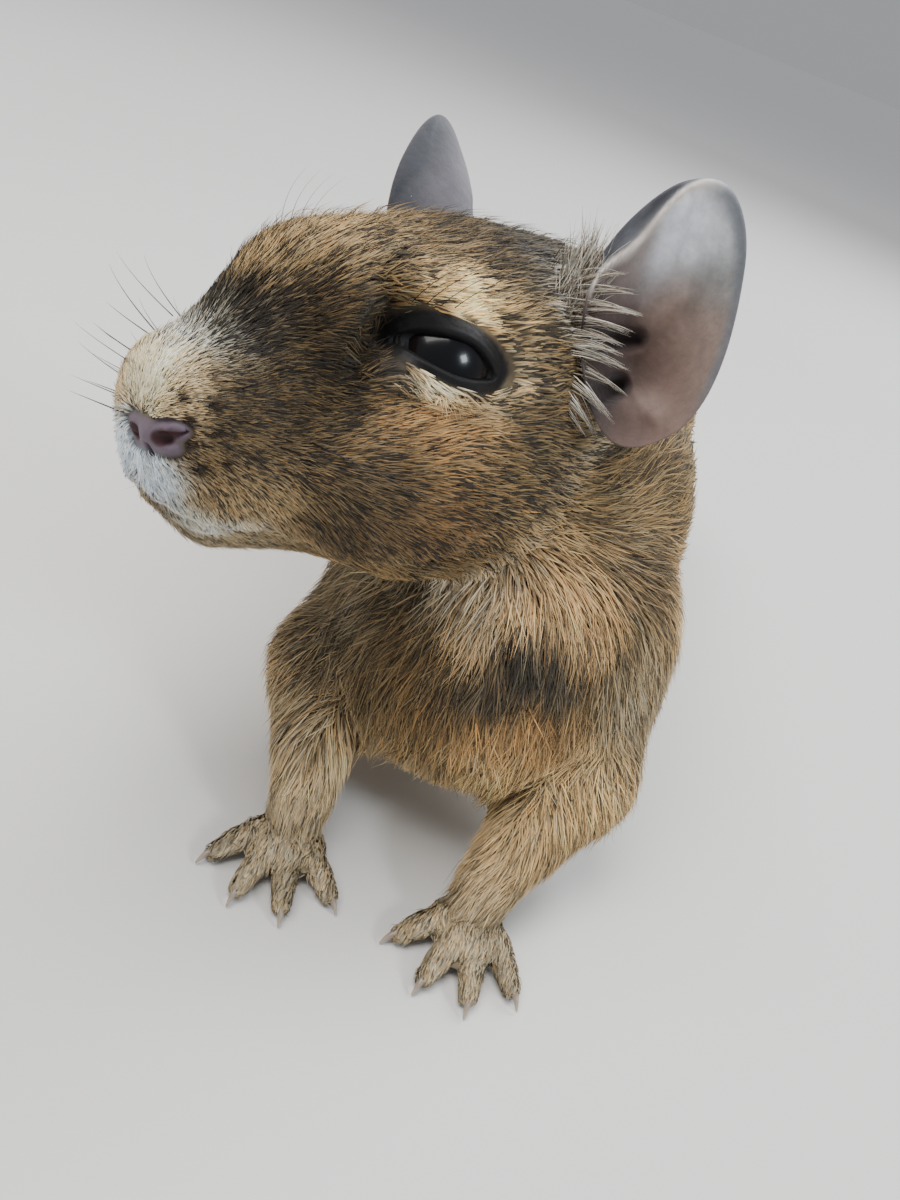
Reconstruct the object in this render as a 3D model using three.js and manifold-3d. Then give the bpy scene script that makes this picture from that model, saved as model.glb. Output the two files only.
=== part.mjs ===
// A life-size degu, crouched on all four feet with its head turned to its right, as a still museum model.
// Millimetres, +Z up. The body faces -Y and its left side is +X.
// The flesh is one smooth field, sampled node by node, so that the nodes carry on into each other across thin cuts.
import * as THREE from "three";
import { mergeVertices } from "three/addons/utils/BufferGeometryUtils.js";
import Module from "manifold-3d";

const wasm = await Module();
wasm.setup();

// General sizes
const GAP = 0.3;
const BLEND = 6;
const FLOOR = 0;

// Head: its frame has its origin at the nose tip, x to the left, y to the back and z up
const NOSE_TIP = new THREE.Vector3(-35.8, -35.9, 47.3);
const HEAD_LEFT = new THREE.Vector3(0.779, -0.605, 0.167);
const HEAD_BACK = new THREE.Vector3(0.611, 0.791, 0.018);
const HEAD_SECTORS = 36;
const MOUTH_STEPS = 22;
const MOUTH_GROOVE = 0.42;
const PHILTRUM_GROOVE = 0.38;

// Eyes, in the head frame, for the left side
const EYE_RADIUS = 4.9;
const EYE_CENTRE = [7.45, 23.3, 6.9];
const EYE_GAZE = [0.82, -0.4, 0.4];
const LID_SLANT = [0.413, 0.875, -0.25];
const LID_THICKNESS = 0.75;
const LID_OPENING = [4.3, 2.5];
const LID_CORNER = 1.2;

// Ears, in the head frame, for the left side: the rim lies in a plane, the cup falls away behind it
const EAR_NOTCH = [15.3, 36.5, 7.1];
const EAR_UP = [-0.133, 0.228, 0.965];
const EAR_FACING = [0.62, -0.74, 0.26];
const EAR_RIM = [
  [1.6, -3.8], [-1.7, 0.8], [-3.3, 7.2], [-2.2, 12.8], [1.6, 18], [5.6, 18.6], [8.6, 14.3], [9.7, 5.6], [8.5, -0.7], [5, -4.1],
];
const EAR_BOTTOM = [3.5, 3.6];
const EAR_CUP = 5.4;
const EAR_POSE = { left: { turn: 0, shift: [0, 0, 0] }, right: { turn: -0.52, shift: [-1, -3.2, 1.2] } };
const EAR_WALL = 0.8;
const EAR_SECTORS = 20;
const EAR_RINGS = 4;

// Cuts between head and neck, and between neck and torso: the flesh above offset belongs to the head side
const HEAD_CUT = { normal: new THREE.Vector3(-0.534, -0.534, 0.655).normalize(), offset: 39.6 };
const NECK_CUT = { normal: new THREE.Vector3(-0.25, -0.38, 0.89).normalize(), offset: 36.4 };

// Limbs
const HAND_LENGTH = 6.2;
const TOE_RADIUS = 1.35;
const CLAW_LENGTH = 2.2;
const HIND_FOOT_LENGTH = 22;

// Tail
const TAIL_ROOT_RADIUS = 5.2;
const TAIL_END_RADIUS = 2.3;
const TUFT_LOCKS = 24;
const TUFT_LENGTH = 19;
const TUFT_SPAN = [0.79, 0.985];

// Finishes
const finish = (color, roughness) => new THREE.MeshStandardMaterial({ color, roughness, metalness: 0 });
const AGOUTI = finish(0x8a6c48, 0.95);
const PALE_FUR = finish(0xa08d72, 0.95);
const EAR_SKIN = finish(0x8d7c7a, 0.7);
const EYE_GLOSS = finish(0x0b0d12, 0.08);
const TAIL_FUR = finish(0x4a3a2c, 0.95);

// Small vector helpers
const vec = (p) => (p.isVector3 ? p.clone() : new THREE.Vector3(...p));
const mirrored = (p) => [-p[0], p[1], p[2]];
const sided = (p, side) => (side > 0 ? p : mirrored(p));
const mix = (a, b, t) => a + (b - a) * t;
const smoothstep = (t) => t * t * (3 - 2 * t);

// Fields: the signed distance to a simple form, about right near its surface

function ellipsoid(centre, radii) {
  const [cx, cy, cz] = centre;
  const [rx, ry, rz] = radii;
  return (p) => {
    const x = (p.x - cx) / rx;
    const y = (p.y - cy) / ry;
    const z = (p.z - cz) / rz;
    const reach = Math.hypot(x, y, z);
    return (reach * (reach - 1)) / Math.max(Math.hypot(x / rx, y / ry, z / rz), 1e-9);
  };
}

function capsule(start, end, startRadius, endRadius) {
  const a = vec(start);
  const along = vec(end).sub(a);
  const lengthSquared = along.lengthSq();
  return (p) => {
    const x = p.x - a.x;
    const y = p.y - a.y;
    const z = p.z - a.z;
    const t = Math.min(1, Math.max(0, (x * along.x + y * along.y + z * along.z) / lengthSquared));
    return Math.hypot(x - along.x * t, y - along.y * t, z - along.z * t) - mix(startRadius, endRadius, t);
  };
}

// The smooth union of fields: k is the width over which they blend.
function blend(fields, k) {
  return (p) => {
    let d = fields[0](p);
    for (let i = 1; i < fields.length; i++) {
      const e = fields[i](p);
      const h = Math.max(k - Math.abs(d - e), 0) / k;
      d = Math.min(d, e) - h * h * k * 0.25;
    }
    return d;
  };
}

// A field that is the same on the left and the right.
const bothSides = (field) => (p) => field({ x: Math.abs(p.x), y: p.y, z: p.z });

// The head's frame in the world
const headBack = HEAD_BACK.clone().normalize();
const headUp = HEAD_LEFT.clone().cross(headBack).normalize();
const headLeft = headBack.clone().cross(headUp).normalize();
const HEAD_FRAME = new THREE.Matrix4().makeBasis(headLeft, headBack, headUp).setPosition(NOSE_TIP);
const WORLD_TO_HEAD = HEAD_FRAME.clone().invert();
const inHeadFrame = (field) => (p) => field(new THREE.Vector3(p.x, p.y, p.z).applyMatrix4(WORLD_TO_HEAD));
const headPoint = (p) => vec(p).applyMatrix4(HEAD_FRAME);

// The flesh of the head, in its own frame
const headField = bothSides(
  blend(
    [
      ellipsoid([0, 31, 4.8], [13.8, 17, 13.6]),
      ellipsoid([0, 43, 4.4], [11.2, 12.5, 12.6]),
      ellipsoid([0, 20, 5.4], [8.4, 14, 11.6]),
      capsule([0, 5.2, 2.4], [0, 16, 5.6], 5.1, 7.8),
      ellipsoid([3.5, 4.6, 1.8], [3.2, 4.4, 3.8]),
      ellipsoid([0, 8.6, -3.4], [6.6, 8.4, 6.2]),
      ellipsoid([3.7, 6.4, -3.4], [4.2, 5, 4]),
      ellipsoid([7.8, 24.5, -3.2], [8, 15, 9.6]),
      ellipsoid([6, 19.8, 9.8], [4.6, 7.4, 5.2]),
      capsule([0, 7.4, -8.2], [0, 23, -8.4], 2.9, 6.8),
    ],
    4.2,
  ),
);

// The flesh of the neck and torso
const neckField = capsule([-13, -7, 46], [-2, 6, 35], 13.5, 17);
const torsoField = blend(
  [
    ellipsoid([-1.5, -4.5, 27], [16.6, 19.6, 18]),
    ellipsoid([-3, -10, 18.2], [15, 13, 12.4]),
    ellipsoid([-1, 21, 30], [18.8, 27, 22]),
    ellipsoid([-3, 50, 30.5], [21, 31, 24.5]),
    ellipsoid([-5.5, 76, 26], [19, 23.5, 22.5]),
  ],
  BLEND,
);
const bodyField = blend([torsoField, neckField], BLEND);
const wholeField = blend([bodyField, inHeadFrame(headField)], BLEND);

// Meshes to solids and back

function solidOf(geometry) {
  const bare = new THREE.BufferGeometry().setAttribute("position", geometry.getAttribute("position"));
  if (geometry.index) bare.setIndex(geometry.index);
  const merged = mergeVertices(bare, 1e-4);
  return new wasm.Manifold(
    new wasm.Mesh({
      numProp: 3,
      vertProperties: new Float32Array(merged.attributes.position.array),
      triVerts: new Uint32Array(merged.index.array),
    }),
  );
}

// The largest closed piece of a solid, as a mesh.
function meshOf(name, solid, material) {
  const pieces = solid.decompose().sort((a, b) => b.volume() - a.volume());
  const { numProp, vertProperties, triVerts } = pieces[0].getMesh();
  const position = new Float32Array((vertProperties.length / numProp) * 3);
  for (let i = 0; i < position.length / 3; i++) {
    position.set(vertProperties.subarray(i * numProp, i * numProp + 3), i * 3);
  }
  const geometry = new THREE.BufferGeometry()
    .setAttribute("position", new THREE.BufferAttribute(position, 3))
    .setIndex(new THREE.BufferAttribute(triVerts, 1));
  geometry.computeVertexNormals();
  const mesh = new THREE.Mesh(geometry, material);
  mesh.name = name;
  return mesh;
}

// A closed surface from rings of points, from the first pole to the last.
function closedRings(firstPole, rings, lastPole) {
  const count = rings[0].length;
  const points = [firstPole, ...rings.flat(), lastPole];
  const faces = [];
  const at = (ring, i) => 1 + ring * count + (i % count);
  const last = points.length - 1;
  for (let i = 0; i < count; i++) {
    faces.push(0, at(0, i + 1), at(0, i));
    for (let k = 0; k + 1 < rings.length; k++) {
      faces.push(at(k, i), at(k, i + 1), at(k + 1, i + 1));
      faces.push(at(k, i), at(k + 1, i + 1), at(k + 1, i));
    }
    faces.push(last, at(rings.length - 1, i), at(rings.length - 1, i + 1));
  }
  const geometry = new THREE.BufferGeometry();
  geometry.setAttribute("position", new THREE.Float32BufferAttribute(points.flatMap((p) => [p.x, p.y, p.z]), 3));
  geometry.setIndex(faces);
  const solid = solidOf(geometry);
  if (solid.volume() >= 0) return solid;
  for (let i = 0; i < faces.length; i += 3) [faces[i + 1], faces[i + 2]] = [faces[i + 2], faces[i + 1]];
  geometry.setIndex(faces);
  return solidOf(geometry);
}

// Where a ray from inside a field first leaves it, no further than reach.
function exit(field, from, direction, reach, level = 0) {
  const p = new THREE.Vector3();
  const value = (t) => field(p.copy(from).addScaledVector(direction, t)) - level;
  const STEP = 0.7;
  let inside = 0;
  let outside = STEP;
  while (outside < reach && value(outside) < 0) {
    inside = outside;
    outside += STEP;
  }
  if (outside >= reach) return from.clone().addScaledVector(direction, reach);
  for (let i = 0; i < 18; i++) {
    const middle = (inside + outside) / 2;
    if (value(middle) < 0) inside = middle;
    else outside = middle;
  }
  return from.clone().addScaledVector(direction, inside);
}

// The skin of a field as a closed solid, sampled by rays from stations along a line.
// Each station has a centre, two directions across and a lean of its rays along the line, so that the ends close
// like a dome. A guard is a plane that the rays stop just behind, because the node is cut there.
function skinOf(field, stations, sectors, { reach = 60, guards = [], level = 0 } = {}) {
  const MARGIN = 6;
  const limited = (from, direction) => {
    let limit = reach;
    for (const { normal, offset } of guards) {
      const speed = normal.dot(direction);
      const room = offset + MARGIN - normal.dot(from);
      if (speed > 1e-6) limit = Math.min(limit, Math.max(0.05, room / speed));
    }
    return limit;
  };
  const shoot = (from, direction) => exit(field, from, direction, limited(from, direction), level);
  const rings = stations.map(({ centre, across, up, lean = 0 }) => {
    const along = across.clone().cross(up).normalize();
    return Array.from({ length: sectors }, (_, i) => {
      const angle = (i / sectors) * Math.PI * 2;
      const direction = across
        .clone()
        .multiplyScalar(Math.cos(angle))
        .addScaledVector(up, Math.sin(angle))
        .multiplyScalar(Math.cos(lean))
        .addScaledVector(along, Math.sin(lean));
      return shoot(centre, direction);
    });
  });
  const pole = (station) => {
    const along = station.across.clone().cross(station.up).normalize();
    return shoot(station.centre, along.multiplyScalar(Math.sign(station.lean || 0)));
  };
  const ends = [stations[0], stations[stations.length - 1]].map((s) => (s.lean ? pole(s) : s.centre.clone()));
  return closedRings(ends[0], rings, ends[1]);
}

// Stations along a curve: a dome of leaning rings at each end where asked, and level rings between.
function stationsAlong(points, { steps, firstDome = 0, lastDome = 0, across, spacing = (t) => t }) {
  const curve = new THREE.CatmullRomCurve3(points.map(vec));
  const stations = [];
  const station = (t, lean) => {
    const forward = curve.getTangent(t).normalize();
    const side = vec(across);
    side.addScaledVector(forward, -side.dot(forward)).normalize();
    const top = forward.clone().cross(side).normalize();
    // across x up runs along the curve, so a positive lean points forwards
    stations.push({ centre: curve.getPoint(t), across: side, up: top, lean });
  };
  for (let i = firstDome; i > 0; i--) station(0, (-Math.PI / 2) * (i / (firstDome + 1)));
  for (let i = 0; i <= steps; i++) station(spacing(i / steps), 0);
  for (let i = 1; i <= lastDome; i++) station(1, (Math.PI / 2) * (i / (lastDome + 1)));
  return stations;
}

// A round or oval tube along a curve; sizeAt gives its half width and half height. The ends are domes or flat.
function sweep(points, sizeAt, { steps, sides, up = [0, 0, 1], round = [true, true] }) {
  const curve = new THREE.CatmullRomCurve3(points.map(vec), false, "catmullrom");
  const ring = (t, scale, shift) => {
    const forward = curve.getTangent(t).normalize();
    const side = vec(up).cross(forward).normalize();
    const top = forward.clone().cross(side).normalize();
    const [wide, high] = sizeAt(t);
    const centre = curve.getPoint(t).addScaledVector(forward, shift * Math.min(wide, high));
    return Array.from({ length: sides }, (_, i) => {
      const angle = ((i + 0.5) / sides) * Math.PI * 2;
      return centre
        .clone()
        .addScaledVector(side, Math.cos(angle) * wide * scale)
        .addScaledVector(top, Math.sin(angle) * high * scale);
    });
  };
  const DOME = 0.8;
  const rings = [];
  if (round[0]) rings.push(ring(0, DOME, -Math.sqrt(1 - DOME ** 2)));
  for (let i = 0; i <= steps; i++) rings.push(ring(i / steps, 1, 0));
  if (round[1]) rings.push(ring(1, DOME, Math.sqrt(1 - DOME ** 2)));
  const pole = (t, sign, isRound) => {
    const forward = curve.getTangent(t).normalize();
    return curve.getPoint(t).addScaledVector(forward, isRound ? sign * Math.min(...sizeAt(t)) : 0);
  };
  return closedRings(pole(0, -1, round[0]), rings, pole(1, 1, round[1]));
}

// The part of a solid on one side of a plane: keep = 1 for the side that its normal points to.
function trimmed(solid, { normal, offset }, keep) {
  const SIZE = 400;
  const box = new THREE.BoxGeometry(SIZE, SIZE, SIZE);
  const turn = new THREE.Quaternion().setFromUnitVectors(new THREE.Vector3(0, 0, 1), normal);
  const centre = normal.clone().multiplyScalar(offset + keep * (SIZE / 2 + GAP / 2));
  box.applyQuaternion(turn).translate(centre.x, centre.y, centre.z);
  return solid.intersect(solidOf(box));
}

// What stands on the floor ends in small flats at floor level.
function onFloor(solid) {
  const SIZE = 600;
  const box = new THREE.BoxGeometry(SIZE, SIZE, SIZE).translate(0, 0, FLOOR + SIZE / 2);
  return solid.intersect(solidOf(box));
}

const joined = (solids) => solids.reduce((a, b) => a.add(b));
const inFrame = (solid, matrix) => solid.transform(matrix.elements);

function ball(centre, radius, width, height) {
  return solidOf(new THREE.SphereGeometry(radius, width, height).translate(...centre));
}

// Eyes and lids: a ball in a socket, under a thin mound of lid with an almond opening

function eyeParts(side) {
  const centre = vec(sided(EYE_CENTRE, side));
  const gaze = vec(sided(EYE_GAZE, side)).normalize();
  const slant = vec(sided(LID_SLANT, side));
  slant.addScaledVector(gaze, -slant.dot(gaze)).normalize();
  const across = gaze.clone().cross(slant).normalize();
  const [long, high] = LID_OPENING;
  const almond = new THREE.Shape();
  almond.moveTo(-long - LID_CORNER, 0);
  almond.quadraticCurveTo(-long * 0.45, -high * 1.25, long * 0.35, -high);
  almond.quadraticCurveTo(long * 0.95, -high * 0.8, long + 0.2, 0);
  almond.quadraticCurveTo(long * 0.8, high * 1.15, 0, high * 1.1);
  almond.quadraticCurveTo(-long * 0.6, high * 0.95, -long - LID_CORNER, 0);
  const opening = new THREE.ExtrudeGeometry(almond, { depth: 12, bevelEnabled: false, curveSegments: 4 });
  opening.applyMatrix4(new THREE.Matrix4().makeBasis(slant, across, slant.clone().cross(across)));
  if (slant.clone().cross(across).dot(gaze) < 0) {
    opening.translate(gaze.x * 12, gaze.y * 12, gaze.z * 12);
  }
  opening.translate(centre.x, centre.y, centre.z);
  return {
    eye: ball(centre.toArray(), EYE_RADIUS, 14, 10),
    mound: ball(centre.toArray(), EYE_RADIUS + GAP + LID_THICKNESS, 18, 12),
    socket: ball(centre.toArray(), EYE_RADIUS + GAP, 16, 10),
    opening: solidOf(opening),
  };
}

// The line of the mouth, the groove under the nose and the nostrils, in the head frame

function mouthLine() {
  const SWEEP = 1.95;
  const points = [];
  for (let i = 0; i <= 14; i++) {
    const angle = mix(-SWEEP, SWEEP, i / 14);
    const turn = Math.abs(angle) / SWEEP;
    const from = new THREE.Vector3(0, 8.6, -6.1 - 3.2 * turn ** 1.6);
    points.push(exit(headField, from, vec([Math.sin(angle), -Math.cos(angle), 0]), 20));
  }
  return sweep(points, () => [MOUTH_GROOVE * 1.2, MOUTH_GROOVE * 1.2], { steps: MOUTH_STEPS, sides: 6 });
}

function philtrum() {
  const heights = [-1.6, -3, -4.4, -6.1];
  const points = heights.map((z) => exit(headField, new THREE.Vector3(0, 8, z), vec([0, -1, 0]), 20));
  return sweep(points, () => [PHILTRUM_GROOVE, PHILTRUM_GROOVE], { steps: 6, sides: 6, up: [1, 0, 0] });
}

function nosePad() {
  const start = exit(headField, new THREE.Vector3(0, 8, 0.7), vec([0, -1, 0]), 20);
  const pad = new THREE.SphereGeometry(1, 14, 8).scale(3.1, 1.5, 1.75);
  return solidOf(pad.translate(0, start.y + 0.55, 0));
}

function nostril(side) {
  const start = exit(headField, new THREE.Vector3(side * 1.9, 8, -0.2), vec([0, -1, 0]), 20);
  const pit = new THREE.SphereGeometry(1, 10, 8).scale(0.95, 1.5, 0.55).rotateY(side * 0.5);
  return solidOf(pit.rotateZ(side * 0.5).translate(side * 2.1, start.y - 0.35, -0.25));
}

function makeHead() {
  const nose = headPoint([0, 7.2, -2.4]);
  const points = [nose, headPoint([0, 14, -0.4]), headPoint([0, 24, 1.4]), headPoint([0, 34, 1.2]), headPoint([0, 46, 0])];
  const stations = stationsAlong(points, {
    steps: 23,
    firstDome: 9,
    across: headLeft,
    spacing: (t) => mix(t, t * t, 0.35),
  });
  const below = { normal: HEAD_CUT.normal.clone().negate(), offset: -HEAD_CUT.offset };
  const rough = skinOf(wholeField, stations, HEAD_SECTORS, { reach: 40, guards: [below] });
  let head = inFrame(trimmed(rough, HEAD_CUT, 1), WORLD_TO_HEAD);
  head = head.add(nosePad());
  const eyes = [1, -1].map(eyeParts);
  for (const { mound } of eyes) head = head.add(mound);
  for (const { socket, opening } of eyes) head = head.subtract(socket).subtract(opening);
  head = head.subtract(mouthLine()).subtract(philtrum());
  for (const side of [1, -1]) head = head.subtract(nostril(side));
  return { head, eyes: eyes.map(({ eye }) => eye) };
}

// Ears: a thin oval cup round the ear canal, on a fleshy root

// The ears are mirrored, and each is then turned about its own root and swung as the animal listens.
function earFrame(side) {
  const up = vec(sided(EAR_UP, side)).normalize();
  const facing = vec(sided(EAR_FACING, side));
  facing.addScaledVector(up, -facing.dot(up)).normalize();
  const out = up.clone().cross(facing).multiplyScalar(side).normalize();
  const pose = side > 0 ? EAR_POSE.left : EAR_POSE.right;
  const root = vec(sided(EAR_NOTCH, side))
    .addScaledVector(out, EAR_BOTTOM[0])
    .addScaledVector(up, EAR_BOTTOM[1])
    .addScaledVector(facing, -EAR_CUP)
    .add(vec(pose.shift));
  for (const axis of [facing, out]) axis.applyAxisAngle(up, pose.turn);
  const at = (x, y, depth) =>
    root
      .clone()
      .addScaledVector(out, x - EAR_BOTTOM[0])
      .addScaledVector(up, y - EAR_BOTTOM[1])
      .addScaledVector(facing, depth + EAR_CUP);
  return { up, facing, out, at };
}

// The inside of the cup, or the back of its wall, as rings from the bottom to the rim.
function earSurface(side, wall) {
  const { at } = earFrame(side);
  const rim = new THREE.CatmullRomCurve3(EAR_RIM.map(([x, y]) => new THREE.Vector3(x, y, 0)), true).getPoints(EAR_SECTORS);
  const point = (share, edge) => {
    const x = mix(EAR_BOTTOM[0], edge.x, share);
    const y = mix(EAR_BOTTOM[1], edge.y, share);
    return at(x, y, -EAR_CUP * (1 - share ** 2) - wall * mix(1.6, 1, share));
  };
  const rings = [];
  for (let k = 1; k <= EAR_RINGS; k++) {
    rings.push(rim.slice(0, EAR_SECTORS).map((edge) => point(k / EAR_RINGS, edge)));
  }
  return { pole: point(0, rim[0]), rings };
}

function makeEar(side) {
  const inner = earSurface(side, 0);
  const outer = earSurface(side, EAR_WALL);
  const shell = closedRings(inner.pole, [...inner.rings, ...outer.rings.reverse()], outer.pole);
  const { up, out, at } = earFrame(side);
  const root = new THREE.SphereGeometry(1, 12, 8).scale(4.4, 6, 3.2);
  root.applyMatrix4(new THREE.Matrix4().makeBasis(out, up, out.clone().cross(up)));
  const seat = at(EAR_BOTTOM[0] - 1, EAR_BOTTOM[1] - 0.5, -EAR_CUP - 3.9);
  return shell.add(solidOf(root.translate(seat.x, seat.y, seat.z)));
}

// Neck and torso

function makeNeck() {
  const points = [[-2, 8, 27], [-5, 2, 36], [-11, -5, 45], [-19, -12, 53]];
  const stations = stationsAlong(points, { steps: 14, across: [0.74, -0.66, 0.1] });
  const rough = skinOf(wholeField, stations, 36, { reach: 34 });
  const above = { normal: HEAD_CUT.normal, offset: HEAD_CUT.offset };
  return trimmed(trimmed(rough, above, -1), NECK_CUT, 1);
}

const TORSO_LINE = [[-1, -8, 26], [-1, 12, 28], [-3, 45, 29], [-5, 80, 26]];

function torsoSkin(level) {
  const stations = stationsAlong(TORSO_LINE, { steps: 17, firstDome: 5, lastDome: 5, across: [1, 0, 0] });
  return skinOf(wholeField, stations, 32, { reach: 60, guards: [NECK_CUT], level });
}

// Paws: a palm, toes that arch to the floor and claws

function toe(base, direction, length, radius, lift) {
  const forward = vec([Math.sin(direction), -Math.cos(direction), 0]);
  const at = (t, z) => vec([base[0], base[1], 0]).addScaledVector(forward, t * length).setZ(z);
  const points = [at(-0.35, base[2]), at(0.15, base[2] + lift), at(0.6, radius * 1.25), at(1, radius * 0.75)];
  const digit = sweep(points, (t) => [radius * mix(1.12, 0.82, t), radius * mix(1.1, 0.8, t)], { steps: 2, sides: 5 });
  const tip = at(0.9, radius * 0.95);
  const clawPoints = [
    tip,
    tip.clone().addScaledVector(forward, CLAW_LENGTH * 0.55).add(vec([0, 0, 0.1])),
    tip.clone().addScaledVector(forward, CLAW_LENGTH * 1.05).setZ(0.35),
  ];
  const claw = sweep(clawPoints, (t) => [mix(0.55, 0.16, t), mix(0.6, 0.18, t)], {
    steps: 2,
    sides: 4,
    round: [false, false],
  });
  return digit.add(claw);
}

function makePaw({ wrist, heading, palm, toes, thumb }) {
  const forward = vec([Math.sin(heading), -Math.cos(heading), 0]);
  const sideways = vec([Math.cos(heading), Math.sin(heading), 0]);
  const place = (along, out, z) =>
    vec([wrist[0], wrist[1], z]).addScaledVector(forward, along).addScaledVector(sideways, out);
  const palmTube = sweep(
    [place(-0.6, 0, wrist[2]), place(palm.length * 0.45, 0, wrist[2] * 0.72), place(palm.length, 0, palm.height * 0.8)],
    (t) => [mix(palm.wristWidth, palm.width, smoothstep(t)), mix(palm.wristHeight, palm.height, t)],
    { steps: 3, sides: 10, round: [false, true] },
  );
  const digits = toes.map(({ out, along, spread, length }) =>
    toe(place(along, out, palm.height * 0.95).toArray(), heading + spread, length, palm.toeRadius, 0.7),
  );
  if (thumb) {
    const start = place(thumb.along, thumb.out, 1.5).toArray();
    digits.push(toe(start, heading + thumb.spread, thumb.length, palm.toeRadius * 0.8, 0.1));
  }
  return onFloor(joined([palmTube, ...digits]));
}

// Forelegs: a shoulder swell, the forearm from the elbow to the wrist

const FORELEGS = {
  left: {
    shoulder: [11.5, -4, 27],
    elbow: [13, -13.5, 13.5],
    wrist: [7.2, -27.4, 5],
    heading: -0.02,
    inner: -1,
  },
  right: {
    shoulder: [-14.5, -3, 27],
    elbow: [-18.5, -11.5, 13.5],
    wrist: [-15, -25.6, 5],
    heading: -0.05,
    inner: 1,
  },
};

function makeForeleg({ shoulder, elbow, wrist }, torsoCutter) {
  const swell = ellipsoid([shoulder[0], shoulder[1] - 2, shoulder[2] - 4], [7.4, 10.5, 13.5]);
  const arm = capsule(shoulder, elbow, 6.4, 6.4);
  const forearm = capsule(elbow, wrist, 6.4, 3.5);
  const middle = [mix(elbow[0], wrist[0], 0.5), mix(elbow[1], wrist[1], 0.5), mix(elbow[2], wrist[2], 0.5)];
  const stations = stationsAlong([shoulder, elbow, middle, wrist], {
    steps: 12,
    firstDome: 4,
    across: [1, 0, 0],
  });
  const leg = skinOf(blend([swell, arm, forearm], 4), stations, 16);
  return onFloor(trimmed(leg, wristCut({ elbow, wrist }), -1)).subtract(torsoCutter);
}

function wristCut({ elbow, wrist }) {
  const normal = vec(wrist).sub(vec(elbow)).normalize();
  return { normal, offset: normal.dot(vec(wrist)) - 0.4 };
}

function makeForepaw({ wrist, heading, inner }) {
  return makePaw({
    wrist,
    heading,
    palm: { length: 4.6, width: 3.7, height: 1.9, wristWidth: 2.9, wristHeight: 2.9, toeRadius: TOE_RADIUS },
    toes: [-1, -0.36, 0.32, 0.95].map((place, i) => ({
      out: place * 2.9 * -inner,
      along: [3.4, 4.8, 4.8, 3.6][i],
      spread: [-0.85, -0.33, 0.12, 0.62][i] * -inner,
      length: HAND_LENGTH * [0.88, 1.02, 1, 0.86][i],
    })),
    thumb: { along: 1.2, out: 2.9 * inner, spread: 0.7 * inner, length: 1.9 },
  });
}

// Hind legs: a haunch over a long foot

const HAUNCHES = {
  left: { centre: [11.5, 70, 24], foot: [15.4, 80, 0], heading: 0.1, inner: -1 },
  right: { centre: [-22, 69, 24], foot: [-26, 79, 0], heading: -0.1, inner: 1 },
};

function makeHaunch({ centre: [x, y, z], foot, inner }, torsoCutter, footCutter) {
  const out = -inner;
  const thigh = ellipsoid([x, y, z], [9.4, 21.5, 18.5]);
  const knee = ellipsoid([x + out * 2.5, y - 8.5, z - 10], [7.6, 12.5, 11]);
  const shank = capsule([x + out * 3, y + 1, 12.5], [foot[0] + inner * 0.5, foot[1] + 4.6, 6], 8.4, 4.8);
  const points = [[x, y + 2, z + 11], [x, y + 1, z + 3], [x + out * 2, y, z - 8], [x + out * 3, y + 1, z - 15]];
  const stations = stationsAlong(points, { steps: 9, firstDome: 3, lastDome: 4, across: [1, 0, 0] });
  const haunch = skinOf(blend([thigh, knee, shank], 4), stations, 20);
  return onFloor(haunch).subtract(torsoCutter).subtract(footCutter);
}

function makeHindFoot({ foot, heading, inner }, grow) {
  const forward = vec([Math.sin(heading), -Math.cos(heading), 0]);
  const heel = vec([foot[0], foot[1], 3]).addScaledVector(forward, -4.5);
  const ball = heel.clone().addScaledVector(forward, HIND_FOOT_LENGTH).setZ(2.2);
  const middle = heel.clone().lerp(ball, 0.5).setZ(2.9);
  const sole = sweep(
    [heel, middle, ball],
    (t) => [mix(2.7, 3.9, smoothstep(t)) + grow, mix(3.1, 2.1, t) + grow],
    { steps: 4, sides: 10 },
  );
  const sideways = vec([Math.cos(heading), Math.sin(heading), 0]);
  const digits = [-1.05, -0.52, 0, 0.52, 1.05].map((place, i) => {
    const start = ball
      .clone()
      .addScaledVector(sideways, place * 2.9 * -inner)
      .addScaledVector(forward, -1.2 - 2.2 * Math.abs(place));
    const reach = 8.8 * [0.62, 0.96, 1, 0.94, 0.74][i];
    return toe(start.toArray(), heading + place * 0.26 * -inner, reach, TOE_RADIUS * 1.15 + grow, 0.9);
  });
  const whole = joined([sole, ...digits]);
  return grow > 0 ? whole : onFloor(whole);
}

// Tail: three lengths along one line, the last with a brush of bent locks

const TAIL_DROP = [[-5.6, 88, 18], [-6, 100, 13.6], [-5.4, 113, 7.6]];
const TAIL_LAID = [[-1.5, 129], [7, 147], [14.5, 164], [17, 182], [14.5, 199]];
const TAIL_PRESS = 0.12;
const TAIL_STEPS = 32;
const TAIL_CUTS = [0.42, 0.74];

function tailRadius(t) {
  return mix(TAIL_ROOT_RADIUS, TAIL_END_RADIUS, Math.min(1, t * 1.6) ** 0.7);
}

const tailCurve = new THREE.CatmullRomCurve3([
  ...TAIL_DROP.map(vec),
  ...TAIL_LAID.map(([x, y], i) => {
    const share = (TAIL_DROP.length + i) / (TAIL_DROP.length + TAIL_LAID.length - 1);
    return new THREE.Vector3(x, y, tailRadius(share) - TAIL_PRESS);
  }),
]);

function tailSkin() {
  const size = (t) => [tailRadius(t), tailRadius(t)];
  return onFloor(sweep(tailCurve.points, size, { steps: TAIL_STEPS, sides: 10, round: [false, true] }));
}

function tailCut(t) {
  const normal = tailCurve.getTangent(t).normalize();
  return { normal, offset: normal.dot(tailCurve.getPoint(t)) };
}

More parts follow.
